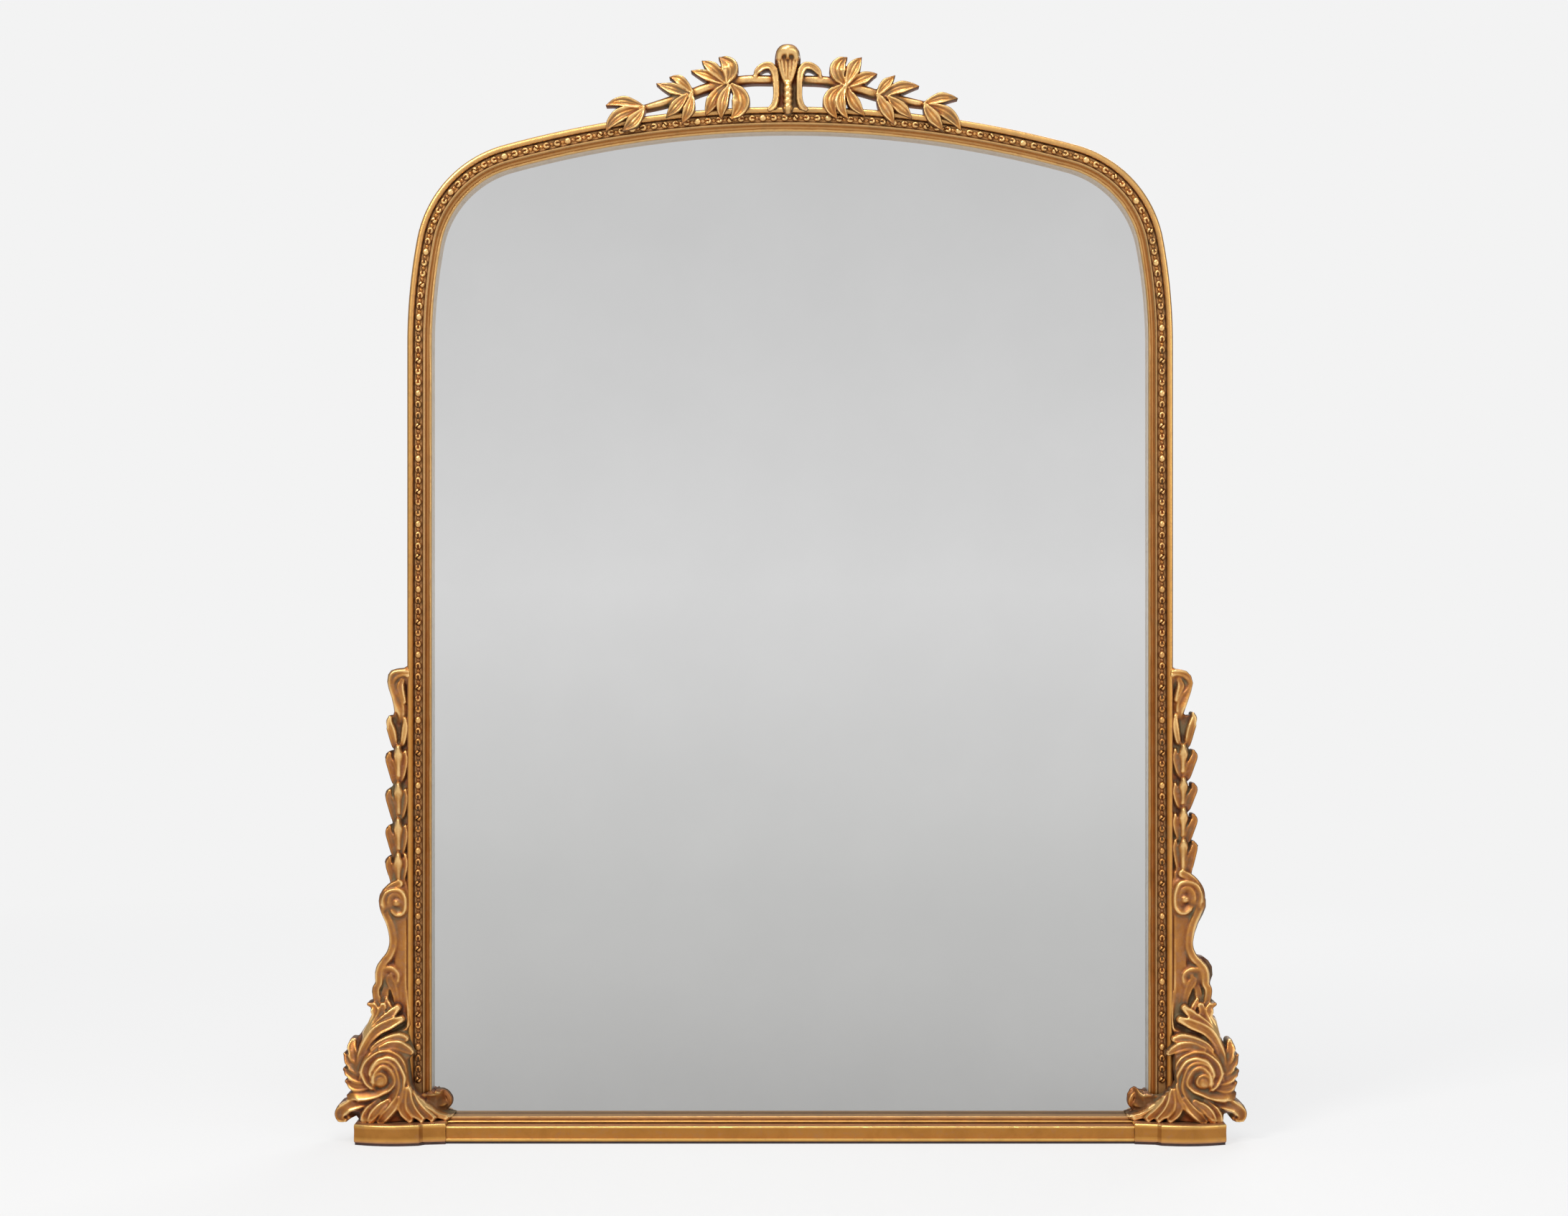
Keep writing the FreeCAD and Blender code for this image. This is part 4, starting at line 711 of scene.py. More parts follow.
# ------------------------------------------------------------------ base
BASE_HALF = 286.0
BASE_PROFILE = [
    # front y, z, tone and how hollow, up the face of the rail
    # the crest and light tones paint highlights on the rounded edges, the line tones paint shade in the
    # creases
    (22.0, 2.0, "rear", 0.6), (-23.0, 2.0, "line", 0.6), (-23.0, 2.6, "crest", 0.2),
    (-23.0, 3.9, "light", 0.15), (-22.7, 4.5, "crest", 0.2), (-22.1, 4.7, "band", 0.45),
    (-22.0, 5.4, "band", 0.5), (-21.8, 8.5, "face", 0.4), (-21.9, 12.6, "face", 0.32),
    (-21.8, 13.6, "light", 0.14), (-21.3, 14.2, "light", 0.14), (-18.0, 14.35, "rosy", 0.35),
    (-9.0, 14.3, "rosy", 0.5), (-5.6, 14.4, "line", 0.9), (-5.5, 14.8, "band", 0.6),
    (-6.5, 15.2, "crest", 0.3), (-6.9, 15.8, "light", 0.15), (-6.6, 16.5, "crest", 0.2),
    (-5.6, 17.0, "band", 0.5), (-3.6, 17.2, "line", 0.8), (-3.5, 17.9, "band", 0.6),
    (-3.5, 18.8, "rosy", 0.4), (-3.3, 19.4, "light", 0.15), (-2.6, 19.85, "rosy", 0.2),
    (-1.2, 20.0, "rosy", 0.3), (0.5, 20.0, "sight", 0.5), (12.0, 20.0, "rear", 0.8),
    (12.0, 13.0, "rear", 0.8), (22.0, 13.0, "rear", 0.7),
]


def run_along_x(name, profile, left, right, count):
    """A moulding from left to right, with slight wear on its front."""
    vertices = []
    for x in np.linspace(left, right, count):
        for y, z, _, _ in profile:
            worn = 0.16 * noise.noise(Vector((x / 8, y / 5, z / 4))) if y < 0 else 0.0
            vertices.append((x, y + max(worn, 0.0), z))
    return tube(name, vertices, len(profile), *along_profile(profile, count))


base_moulding = run_along_x("base_moulding", BASE_PROFILE, -BASE_HALF, BASE_HALF, 260)
dress(base_moulding, MOULDED, "gilt_moulding", "base_rail")

PLINTH_PLAN = [
    # from the back outer corner round the front to the inner one; the run from face to side is bowed
    (362.0, 22.0), (362.0, -27.0), (361.6, -27.9), "bow", (308.2, -32.9), (307.2, -32.6), (306.0, -30.4),
    (304.4, -28.3), (303.0, -28.0), (294.0, -26.2), (287.2, -25.0), (286.0, -24.2), (286.0, 22.0),
]
BOW_FROM, BOW_TO, BOW_RISE, BOW_STEPS = (360.8, -28.3), (309.4, -33.1), 4.9, 26
PLINTH_REAR = 21.0
PLINTH_LAYERS = [
    # height, inset, tone and how hollow
    # the crest and light tones paint highlights on the rounded edges, the line tone at the foot paints
    # shade
    (2.0, 0.6, "line", 0.7), (2.6, 0.1, "rosy", 0.3), (4.2, 0.0, "crest", 0.25), (7.0, 0.15, "face", 0.36),
    (10.5, 0.2, "face", 0.4), (13.4, 0.15, "face", 0.34), (15.2, 0.0, "crest", 0.25),
    (16.2, 0.15, "light", 0.15), (16.8, 0.5, "light", 0.15), (17.2, 1.1, "rosy", 0.3),
    (17.2, 3.0, "rosy", 0.5),
]


def plinth(name, sign):
    """A block with a bowed front, its edges worn round."""
    plan = []
    for point in PLINTH_PLAN:
        if point != "bow":
            plan.append(point)
            continue
        for t in np.linspace(0, 1, BOW_STEPS):
            plan.append((
                BOW_FROM[0] + (BOW_TO[0] - BOW_FROM[0]) * t,
                BOW_FROM[1] + (BOW_TO[1] - BOW_FROM[1]) * t - BOW_RISE * 4 * t * (1 - t),
            ))
    plan = np.array(plan)
    ahead, behind = np.roll(plan, -1, 0), np.roll(plan, 1, 0)
    way = (ahead - behind) / np.maximum(np.hypot(*(ahead - behind).T), 1e-6)[:, None]
    inward = np.column_stack([way[:, 1], -way[:, 0]])
    centre = plan.mean(0)
    inward *= np.sign(((centre - plan) * inward).sum(1))[:, None]
    vertices, hollow, tones = [], [], []
    for z, inset, tone, deep in PLINTH_LAYERS:
        for (x, y), (ix, iy) in zip(plan, inward):
            front = y < PLINTH_REAR
            dx, dy = (ix * inset, iy * inset) if front else (0.0, 0.0)
            worn = 0.22 * max(noise.noise(Vector((x / 6, y / 6, z / 5))), 0.0) if front else 0.0
            vertices.append((sign * (x + dx + ix * worn), y + dy + iy * worn, z))
            hollow.append(deep)
            tones.append(TONES[tone])
    return tube(name, vertices, len(plan), hollow, tones)


for side, sign in (("left", -1), ("right", 1)):
    dress(plinth(side + "_plinth_block", sign), MOULDED, "gilt_moulding", side + "_plinth")

# ------------------------------------------------------------------ side carvings
CORNER_TOP, CONSOLE_TOP = 121.0, 219.5
SIDE_GROUND = 5.5
STILE_OUTER, STILE_INNER, SILL = 319.85, 300.15, 20.4
CARVING_REAR, STILE_FRONT, GLASS_FRONT, SILL_FRONT = 8.0, -10.25, 11.2, -3.6
LEFT_OUTLINE = [
    (-360, 17.9), (-362, 21.5), (-366, 20), (-370, 17), (-373, 17), (-376, 19), (-378.5, 27), (-376.5, 31),
    (-374, 34), (-370, 35.5), (-368.5, 38), (-369, 40), (-366, 42), (-364, 43), (-367, 46), (-369.5, 50),
    (-369, 53.5), (-367, 54), (-369.5, 57.5), (-371.3, 61), (-370.5, 63), (-368.5, 64.5), (-370.5, 69),
    (-371.5, 74), (-371, 75.2), (-368, 74.5), (-367.5, 78), (-368, 82), (-366.5, 85.5), (-364, 87),
    (-361.5, 87), (-360, 88.5), (-356, 95), (-352, 100), (-349, 106), (-347.5, 110), (-349, 113),
    (-351.5, 115.5), (-349.5, 118), (-347, 119), (-346, 120.5), (-346.5, 123), (-347.8, 126), (-347, 129),
    (-345, 132), (-344, 134), (-344.8, 138), (-345.2, 142), (-344, 147), (-341, 152), (-337, 156),
    (-334.5, 160), (-333.2, 165), (-333, 170), (-333.8, 176), (-336, 183), (-339, 190), (-341, 196),
    (-341.8, 202), (-341, 207), (-338.5, 211.5), (-334, 216), (-330, 219), (-329.5, 220.5), (-331, 223),
    (-333, 227), (-336, 231.5), (-337.3, 234), (-336.5, 236.5), (-334, 239), (-331, 240), (-330.3, 241.5),
    (-330.6, 246), (-332, 251), (-334.5, 256), (-336.2, 260), (-335.5, 263), (-333, 265), (-330.8, 266),
    (-331, 275), (-333, 281), (-336, 287), (-337, 290), (-336, 293.5), (-333.5, 295.5), (-331, 297),
    (-330, 299), (-330, 305), (-331.5, 311), (-334.5, 317), (-337, 321), (-336, 324.5), (-333, 326.5),
    (-330, 327), (-329, 329.5), (-329.3, 335), (-331, 341), (-334.5, 347.5), (-336, 351), (-335, 353.5),
    (-332.5, 355.5), (-330, 356.5), (-329, 359), (-329.5, 364), (-331, 371), (-333.5, 378), (-334.8, 384),
    (-334, 390), (-331.5, 393.5), (-327, 395), (-321, 395.5), (-318.5, 397), (-315.5, 400), (-315.5, 98),
    (-318, 95), (-318, 90), (-317, 87), (-314.5, 82), (-312, 75.5), (-317, 70), (-315, 57), (-314, 50),
    (-311, 44), (-308, 41), (-300, 41.5), (-297, 40.5), (-296, 42.5), (-293, 42), (-290, 43.3), (-286, 43),
    (-282.5, 40), (-281.2, 36), (-282.5, 32), (-285, 29), (-285, 27), (-282, 25), (-279, 24),
    (-284.5, 17.9),
]
RIGHT_OUTLINE = [
    (360.5, 17.9), (361.5, 20), (362, 23), (364, 24), (366, 22.5), (367, 20.5), (369, 18), (372, 17),
    (376, 18.5), (378.5, 22), (379.5, 27), (378, 31), (375, 34), (371, 35.5), (369.5, 37), (371.3, 40),
    (371.5, 42), (370, 43.5), (372, 48), (372.8, 50.5), (370.7, 52), (372, 56), (372.5, 59.5), (371, 61.5),
    (370, 62), (370.5, 66), (370, 69.5), (367.5, 70), (366, 74), (364.5, 77), (363.5, 78.5), (359, 88),
    (357.8, 95), (357.5, 100), (356, 103), (353.5, 104.5), (350.5, 104.5), (348, 108), (349, 112),
    (351, 113), (353, 114), (353.2, 117), (351, 120), (347, 121), (344.5, 122), (346, 126), (349, 133),
    (351.5, 140), (351, 147), (348, 152), (344, 155), (340, 156), (336, 156), (334.8, 159), (335, 168),
    (336.5, 175), (340, 183), (343.5, 190), (345.5, 197), (345.3, 203), (343, 209), (339, 215), (335, 221),
    (332.5, 227), (332.5, 233), (334.5, 239), (337.5, 245), (339.3, 248), (337, 249.7), (333, 249.5),
    (330.8, 252), (332, 256), (335, 263), (337, 269), (335.5, 271), (332.5, 271.5), (330, 272.5),
    (329.5, 276), (331, 281), (334, 286), (336.8, 291.5), (335.5, 295), (332.5, 296.3), (330, 298),
    (329.8, 303), (331, 308), (333.5, 315), (336.7, 323), (335.5, 326), (332.5, 327.3), (328.5, 332),
    (330, 337), (333, 344), (337, 351.5), (336, 355), (333, 356.5), (329.5, 356), (327.3, 357.5),
    (328, 361), (330, 367), (333, 376), (334.5, 383), (333, 389), (329, 393), (324, 394.5), (320, 395),
    (315.5, 398), (315.5, 110), (318, 95), (320, 90), (319, 86), (317.5, 80), (319, 74.5), (319, 62),
    (320.5, 52), (315, 44), (308, 40), (297, 40), (295, 39.5), (292, 41.5), (290, 44), (287, 46), (283, 45),
    (280.5, 41), (280.2, 36), (282, 31), (284, 28.5), (283.5, 26), (280, 25), (283, 17.9),
]


def sink_to_glass(r):
    """Lowers the ground where it reaches over the glass."""
    ground = np.interp(np.abs(r.gx), (286, 295, 306), (-9.6, 2.4, SIDE_GROUND))
    r.height = np.where((r.height > LOW + 1) & (r.gz > 22), np.minimum(r.height, ground), r.height)


def carve_left_corner(r):
    """The volute on the plinth: lobes, climbing leaves, low curl, foot fan and curl over the glass."""
    r.plump = 1.22
    r.ridge([
        (-346, 55.2), (-345.6, 58), (-343.8, 61.2), (-339.6, 65.4), (-335.4, 65.8), (-331.8, 63.7),
        (-329, 59.8), (-327.2, 54.8), (-327.6, 50.6), (-329.4, 47.8), (-332.5, 44.6), (-338.2, 41.8),
        (-343.1, 39.3), (-350.9, 37.2), (-358.7, 36.5),
    ], 29, 23, drop=3.6)
    r.dome([(-340.6, 53.6, 5.2), (-339.8, 53.6, 5.2)], (27.4, 27.4), edge=3.4)
    r.ridge([
        (-346.2, 52.6), (-345.6, 55.4), (-343.4, 58.2), (-339.6, 59.6), (-336.2, 58.2), (-334.4, 55),
        (-334.8, 51.6), (-337, 49), (-340.6, 48),
    ], 29, 25, drop=2.6, crest=0.5, fade=0.2)
    r.ridge([
        (-346.5, 62.5), (-343.5, 67), (-338, 69.5), (-332.5, 69), (-328, 65.5), (-325.5, 60), (-324, 54),
        (-323.8, 48), (-325.5, 42), (-329, 35), (-335, 29), (-342, 24.5), (-347, 19.5),
    ], 28, 24, drop=3.4)
    r.ridge([
        (-348.4, 58.7), (-348.1, 61.9), (-346.3, 66.1), (-342.4, 70.4), (-338.2, 72.1), (-334, 73.2),
        (-329, 71.8), (-326.2, 70), (-323.4, 66.1), (-320.9, 61.2), (-319.1, 56.2), (-319.5, 51.3),
        (-320.2, 46.4), (-320.9, 40.7), (-322.7, 35.8), (-325.5, 30.1), (-329.7, 25.2), (-335.4, 19.6),
    ], 28, 25, drop=3.4)
    r.ridge([
        (-356.6, 60), (-354.6, 66), (-350.7, 71), (-345.3, 75.2), (-340.5, 77.4), (-335.4, 78),
        (-329.7, 76.7), (-324.2, 73.6), (-320.6, 69), (-318.6, 63.6), (-317.4, 57.4), (-316.6, 51),
        (-314.2, 42.8),
    ], 24, 24, drop=3.2)
    r.ridge([
        (-347.4, 46.4), (-351.6, 49.9), (-354.4, 54.8), (-355.7, 59.8), (-355.5, 64.7), (-353.7, 69.7),
        (-350.9, 73.9), (-346.7, 78.1), (-342.4, 81.7), (-336.8, 85.2), (-331.1, 87.6),
    ], 25, 20, fade=0.1)
    r.ridge([
        (-358.3, 57), (-358.3, 62.6), (-357.3, 68.2), (-355.1, 73.9), (-351.6, 78.8), (-347.4, 82.4),
        (-342.4, 86.2), (-336.8, 89.1), (-329.7, 91.5), (-323.4, 93.2), (-319.6, 95), (-318.6, 99),
        (-318.4, 108), (-318.4, 126),
    ], 20, 9, drop=2.6, reach=7, fade=0.14)
    # the two lobes that turn away from the volute
    r.leaf([(-347, 79, 1.8), (-341, 83, 2.8), (-333, 86.6, 3.2), (-325, 88.4, 3.2), (-319.4, 87.4, 2.4)],
           (22, 21, 19), rib=0.5)
    r.leaf([(-340, 79.6, 1.8), (-333, 82, 2.8), (-326, 82, 3.4), (-319.4, 79.4, 3.2), (-314.6, 76.2, 2.0)],
           (23, 22, 20), rib=0.5)
    # leaves that climb to the console
    r.leaf([
        (-358, 68, 2.0), (-355.4, 78, 2.8), (-350, 87, 3.4), (-342, 94.6, 3.8), (-332, 99.6, 3.8),
        (-323.6, 103.4, 2.6),
    ], (19, 20, 17), rib=0.4)
    r.leaf([(-356, 80, 2.0), (-350, 90, 2.8), (-341.6, 99, 3.4), (-333, 106.4, 3.4), (-326.4, 113, 2.4)],
           (18, 18, 16), rib=0.4)
    r.leaf([
        (-354, 86, 2.0), (-347.4, 96, 2.8), (-341, 105, 3.2), (-338.2, 115, 2.2),
    ], (17, 17, 15), rib=0.4)
    r.leaf([(-331.5, 106, 1.6), (-333, 113, 2.2), (-335.6, 119.6, 1.4)], (15, 14, 12), rib=0.0)
    r.leaf([(-354, 90, 2.0), (-349, 100, 2.6), (-345.4, 108, 2.8), (-345.8, 114, 2.6), (-350.0, 116, 1.4)],
           (15.5, 16, 14), rib=0.4)
    # side lobes
    r.leaf([
        (-350, 48.5, 2.2), (-358, 47.5, 3.4), (-364.4, 48.6, 3.4), (-368.4, 51.4, 1.8),
    ], (22, 20, 16), rib=0.5)
    r.leaf([
        (-354, 54, 2.2), (-360.4, 55, 3.4), (-366.4, 57.8, 3.4), (-370.4, 61.2, 1.6),
    ], (21, 19, 15), rib=0.5)
    r.leaf([
        (-357, 60, 2.2), (-362.4, 63, 3.4), (-367, 68.2, 3.3), (-370.6, 73.8, 1.3),
    ], (20, 18, 14), rib=0.5)
    r.leaf([
        (-358, 66, 2.2), (-362.6, 71, 3.2), (-364.8, 78, 3.4), (-364.4, 84.2, 2.4),
    ], (18, 17, 13), rib=0.5)
    # the low curl, its inner roll and the lobe over it
    r.leaf([
        (-345, 37, 2.6), (-354, 34.6, 3.4), (-362, 32.6, 4.0), (-369.4, 30, 4.4), (-374.0, 25, 4.0),
        (-373.6, 20, 2.8), (-370.6, 18.4, 1.4),
    ], (20, 19, 15), cup=2.0, rib=0.0)
    r.ridge([(-347, 31), (-354, 31), (-361.5, 29.4), (-366.4, 26.4), (-367.8, 22.6), (-366.4, 20.4)],
            19, 13, drop=2.8, reach=7, fade=0.1)
    r.leaf([(-352, 42.5, 2.2), (-360, 40.5, 2.8), (-367.4, 39.3, 1.4)], (17, 15, 12), rib=0.4)
    # foot fan, from the left to the leaf along the sill
    for points, heights in (
        ([(-341, 36, 1.8), (-347.4, 31, 2.6), (-352, 25.4, 3.0), (-354.2, 19.2, 2.4)], (23, 23, 19)),
        ([(-334, 36, 2.0), (-340.6, 30.6, 3.0), (-345.4, 25, 3.2), (-347.6, 19.2, 2.6)], (25, 26, 23)),
        ([(-326, 38, 2.0), (-330.6, 30, 3.0), (-336, 23.6, 3.2), (-340, 18.8, 2.6)], (26, 27, 24)),
        ([(-319.6, 46, 2.0), (-321.6, 36, 3.0), (-320.6, 27, 3.2), (-315.6, 20, 2.6)], (26, 26, 23)),
        ([(-316.6, 46, 2.0), (-316, 36, 3.0), (-312.4, 27.4, 3.2), (-306.4, 20.4, 2.6)], (26, 25, 22)),
        ([(-313.6, 43, 2.0), (-310.6, 34.4, 3.0), (-304.8, 26.8, 3.2), (-298, 20.6, 2.6)], (24, 23, 18)),
        ([(-310.6, 39, 2.0), (-305.6, 32, 2.8), (-297.4, 25.4, 3.0), (-287.4, 20.6, 2.4)], (22, 20, 10)),
    ):
        r.leaf(points, heights, rib=0.5)
    # the leaf that curls over the glass
    r.leaf([
        (-309, 39, 2.2), (-303, 36, 3.6), (-296.5, 34.4, 4.4), (-290.4, 35.2, 4.6), (-286.8, 37.4, 3.4),
    ], (18, 9, 0, -7), cup=1.6, rib=0.0)
    r.leaf([
        (-295.6, 41.4, 0.8), (-291, 42.0, 1.2), (-286.6, 41.2, 1.8), (-283.6, 38.2, 2.2),
        (-283.4, 34.2, 2.2), (-285.6, 30.4, 1.6), (-287.4, 27.6, 1.2),
    ], (-8, -6.6, -6, -6.6, -8), cup=0.5, rib=0.0)


def carve_left_side(r):
    """The console and the husk chain."""
    r.plump = 1.1
    band = [
        (-343, 112), (-343.4, 120), (-344.0, 128), (-341.6, 134), (-341.7, 141), (-340.6, 146.5),
        (-337.6, 151), (-333.6, 156), (-331.2, 161), (-330, 166), (-330, 171), (-330.9, 177), (-333, 184),
        (-335.8, 190.5), (-337.7, 196.5), (-338.3, 202), (-337.3, 206.5), (-334, 211), (-329.5, 214.5),
        (-324.5, 216.5),
    ]
    r.leaf([(x, z, 3.0) for x, z in band], (12.5, 10.5, 12.5), cup=0.7, rib=0.0)
    r.ridge([
        (-338.7, 199), (-338.5, 204), (-335.6, 209.3), (-330, 211.6), (-323, 211), (-319.6, 206),
        (-318.9, 200), (-319.6, 194), (-322.6, 190.4), (-327, 190), (-331, 193),
    ], 14, 12.5, drop=2.4, crest=0.5)
    r.ridge([
        (-334, 201), (-333, 205), (-329.5, 208), (-325, 207.3), (-322.4, 203.5), (-322.4, 198.5),
    ], 13.5, 12, drop=1.8, crest=0.5)
    r.dome([(-326.7, 200.6, 3.4), (-326.3, 200.6, 3.4)], (13.2, 13.2), edge=2.4)
    r.dome([
        (-325.4, 219, 4.0), (-324.6, 190, 5.5), (-323.4, 170, 5.2), (-323.4, 150, 5.4), (-325, 104, 6.5),
    ], (9.6, 9.6, 8.4), edge=0.8)
    r.ridge([
        (-319.4, 217), (-319.2, 190), (-319.2, 160), (-319.2, 104),
    ], 9.4, 9.4, drop=2.0, crest=0.5, reach=4)
    r.ridge([
        (-328, 186), (-327.6, 175), (-327.8, 165), (-329.6, 157), (-333, 151.5),
    ], 9.6, 9.6, drop=1.6, crest=0.5, reach=4)
    r.ridge([
        (-339.8, 140), (-338.2, 145.6), (-333, 147.2), (-328, 145.4), (-324.8, 140.6), (-325.4, 135),
    ], 11.5, 10.5, drop=2.2, crest=0.5, reach=6)
    r.leaf([
        (-331.6, 140.8, 1.2), (-332.4, 136, 3.0), (-330, 130, 3.0), (-327.6, 118, 2.0), (-326.6, 108, 1.6),
    ], (10.5, 10, 9), cup=1.2, rib=0.5)
    r.leaf([(-336.5, 110, 2.0), (-336.9, 124, 3.0), (-334.8, 133, 2.2)], (10, 10, 9), cup=1.0, rib=0.5)
    r.leaf([(-321.4, 108, 1.6), (-321.6, 126, 2.4), (-322.6, 137, 1.2)], (9.5, 9, 8.5), cup=0.8, rib=0.4)
    for top, left, right in (
        (241.5, 234, 239), (270, 260, 263), (300, 290, 293), (331, 321, 325), (361, 351, 352),
    ):
        low = top - 28
        r.leaf([
            (-326.6, low - 4, 1.6), (-328.4, left - 20, 2.4), (-330.8, left - 9, 3.2),
            (-333.2, left - 1, 2.8), (-332.6, left + 3.4, 1.6),
        ], (8.5, 11, 10.5), cup=1.5, rib=0.6)
        r.leaf([
            (-324, low - 2, 1.6), (-321.8, right - 18, 2.2), (-320.0, right - 7, 2.6),
            (-319.8, right + 1, 1.4),
        ], (8.5, 10.5, 10), cup=1.2, rib=0.5)
    for top in (241.5, 270, 300, 331):
        r.dome([
            (-325.5, top - 28, 1.8), (-325.5, top - 16, 3.0), (-325.5, top - 8, 4.1),
            (-325.5, top - 0.6, 1.8),
        ], (9.5, 12.5, 13), edge=2.6)
        r.ridge([(-325.5, top - 24), (-325.5, top - 2)], 11.5, 13.6, drop=1.0, crest=0.5, reach=2)
    r.ridge([
        (-327, 360), (-329.4, 368), (-332, 377), (-333.2, 384), (-332.3, 389.4), (-329.6, 392.3),
        (-325, 393.4), (-319.5, 393.6),
    ], 12, 12.5, drop=2.4, crest=0.5)
    r.ridge([
        (-317.5, 388.6), (-321, 389.6), (-326, 387.6), (-329.4, 383), (-328.8, 378), (-324.3, 371),
        (-321.4, 364), (-321, 357),
    ], 12, 10, drop=2.0, crest=0.5)
    r.leaf([
        (-320, 367, 1.2), (-322.2, 374, 2.2), (-323.6, 380, 2.8), (-322.4, 385, 1.8),
    ], (11, 11.5, 11), cup=1.2, rib=0.0)


def side_depth(x, z):
    """The depth at which the side carvings were drawn: the corner stands in front of the console."""
    over_glass = np.interp(np.abs(x), (282, 298), (26, 0)) * np.interp(z, (22, 28), (0, 1))
    return np.interp(z, (90, 135), (-20, -10)) + over_glass


def behind_side(x, z):
    """How far back a side carving reaches: to its seat, the frame's front, the glass or the base rail."""
    x = np.abs(x)
    places = [x > STILE_OUTER, x > STILE_INNER, z > SILL]
    return np.select(places, [CARVING_REAR, STILE_FRONT, GLASS_FRONT], SILL_FRONT)


left = Relief((-384, -274), (14, 403))
left.fill(LEFT_OUTLINE, SIDE_GROUND)
sink_to_glass(left)
carve_left_corner(left)
carve_left_side(left)
left.finish(soften=0.7)


class Opposite(Relief):
    """The other side's carving: the left strokes turned over and moved to the right side's landmarks."""

    LEFT_X, RIGHT_X = (280, 318, 341, 371, 379), (280, 318, 344.5, 372.5, 379.5)
    LEFT_Z = (18, 54, 75, 121, 165, 200.5, 234, 241.5, 270, 300, 331, 351, 395)
    RIGHT_Z = (18, 52.5, 74, 121, 163, 203.5, 248, 253, 279, 304, 332, 354, 395)

    def turned(self, points):
        points = np.array(points, float)
        points[:, 0] = np.interp(-points[:, 0], self.LEFT_X, self.RIGHT_X)
        points[:, 1] = np.interp(points[:, 1], self.LEFT_Z, self.RIGHT_Z)
        return points

    def ridge(self, points, *values, **named):
        super().ridge(self.turned(points), *values, steep=-1, **named)

    def leaf(self, points, *values, **named):
        super().leaf(self.turned(points), *values, **named)

    def dome(self, points, *values, **named):
        super().dome(self.turned(points), *values, **named)


right = Opposite((274, 384), (14, 403))
right.fill(RIGHT_OUTLINE, SIDE_GROUND)
sink_to_glass(right)
carve_left_corner(right)
carve_left_side(right)
right.finish(soften=0.7)

for side, field in (("left", left), ("right", right)):
    for name, node, low, high in (
        ("corner_carving", "corner_volute", 0.0, CORNER_TOP),
        ("console_carving", "console", CORNER_TOP, CONSOLE_TOP),
        ("husk_carving", "husk_chain", CONSOLE_TOP, 500.0),
    ):
        piece = field.piece(
            side + "_" + name, lambda x, z: (z >= low) & (z < high), side_depth, behind_side,
        )
        dress(piece, GILT, "gilt_carving", side + "_" + node, back=CARVING_BACK)

# ------------------------------------------------------------------ crest
crest = Relief((-158, 148), (838, 918))
crest.plump = 1.2
LEFT_SPRAY = [
    # heights at root, middle and tip, then places x, z, half width from the root
    ((16, 17, 14), [
        (-54, 882, 1.4), (-61, 885.5, 3.0), (-69, 888.5, 3.8), (-76, 890.8, 2.4), (-82, 892.5, 0.5),
    ]),
    ((17, 18, 15), [
        (-54, 883, 1.4), (-58.5, 889, 3.2), (-64.5, 894.5, 4.2), (-69.5, 898, 2.6), (-73, 900.5, 0.5),
    ]),
    ((18, 20, 15), [
        (-52, 883, 1.6), (-50, 889, 4.6), (-50.5, 895, 6.2), (-54, 900, 4.4), (-58.6, 903.2, 0.8),
    ]),
    ((16, 17, 14), [
        (-54, 880, 1.4), (-60, 874, 3.6), (-64.5, 867, 4.6), (-68, 860.5, 2.8), (-70, 855.7, 0.5),
    ]),
    ((18, 19, 16), [
        (-51, 879, 1.6), (-54.5, 871.5, 3.4), (-56.5, 864, 4.0), (-57.4, 857.5, 2.6), (-57.2, 852.8, 0.6),
    ]),
    ((17, 18, 15), [
        (-48, 880, 1.8), (-42.5, 873.5, 5.0), (-41, 866.5, 6.4), (-43.5, 859, 4.8), (-48.5, 853, 1.0),
    ]),
    ((15, 16, 13), [
        (-85, 873, 1.4), (-91.5, 875.4, 3.0), (-98, 877.6, 4.0), (-105, 879.8, 2.4), (-111, 882, 0.5),
    ]),
    ((16, 17, 14), [
        (-82, 875, 1.4), (-86.5, 880, 2.8), (-91.5, 884.2, 3.6), (-96, 886.4, 2.2), (-100, 887.2, 0.5),
    ]),
    ((16, 17, 14), [
        (-86, 872, 1.4), (-91, 867, 3.4), (-95.5, 862, 4.2), (-99.8, 857.5, 2.4), (-103, 854, 0.5),
    ]),
    ((17, 18, 15), [
        (-82, 873, 1.4), (-82.6, 866, 3.0), (-84.5, 859.5, 4.1), (-87.4, 853.5, 2.6), (-90, 848.8, 0.5),
    ]),
    ((15, 16, 13), [
        (-122, 862, 1.4), (-130, 865, 3.0), (-138, 866.8, 3.9), (-146, 866.4, 2.6), (-153, 864, 0.5),
    ]),
    ((15, 16, 13), [
        (-123, 861, 1.4), (-132.5, 859.4, 3.4), (-142, 855.5, 4.8), (-149, 849.6, 3.4), (-153, 843, 0.7),
    ]),
    ((17, 18, 15), [
        (-122, 860, 1.4), (-126, 855, 3.6), (-130.5, 850, 4.8), (-135, 846, 3.0), (-139, 842.4, 0.6),
    ]),
]
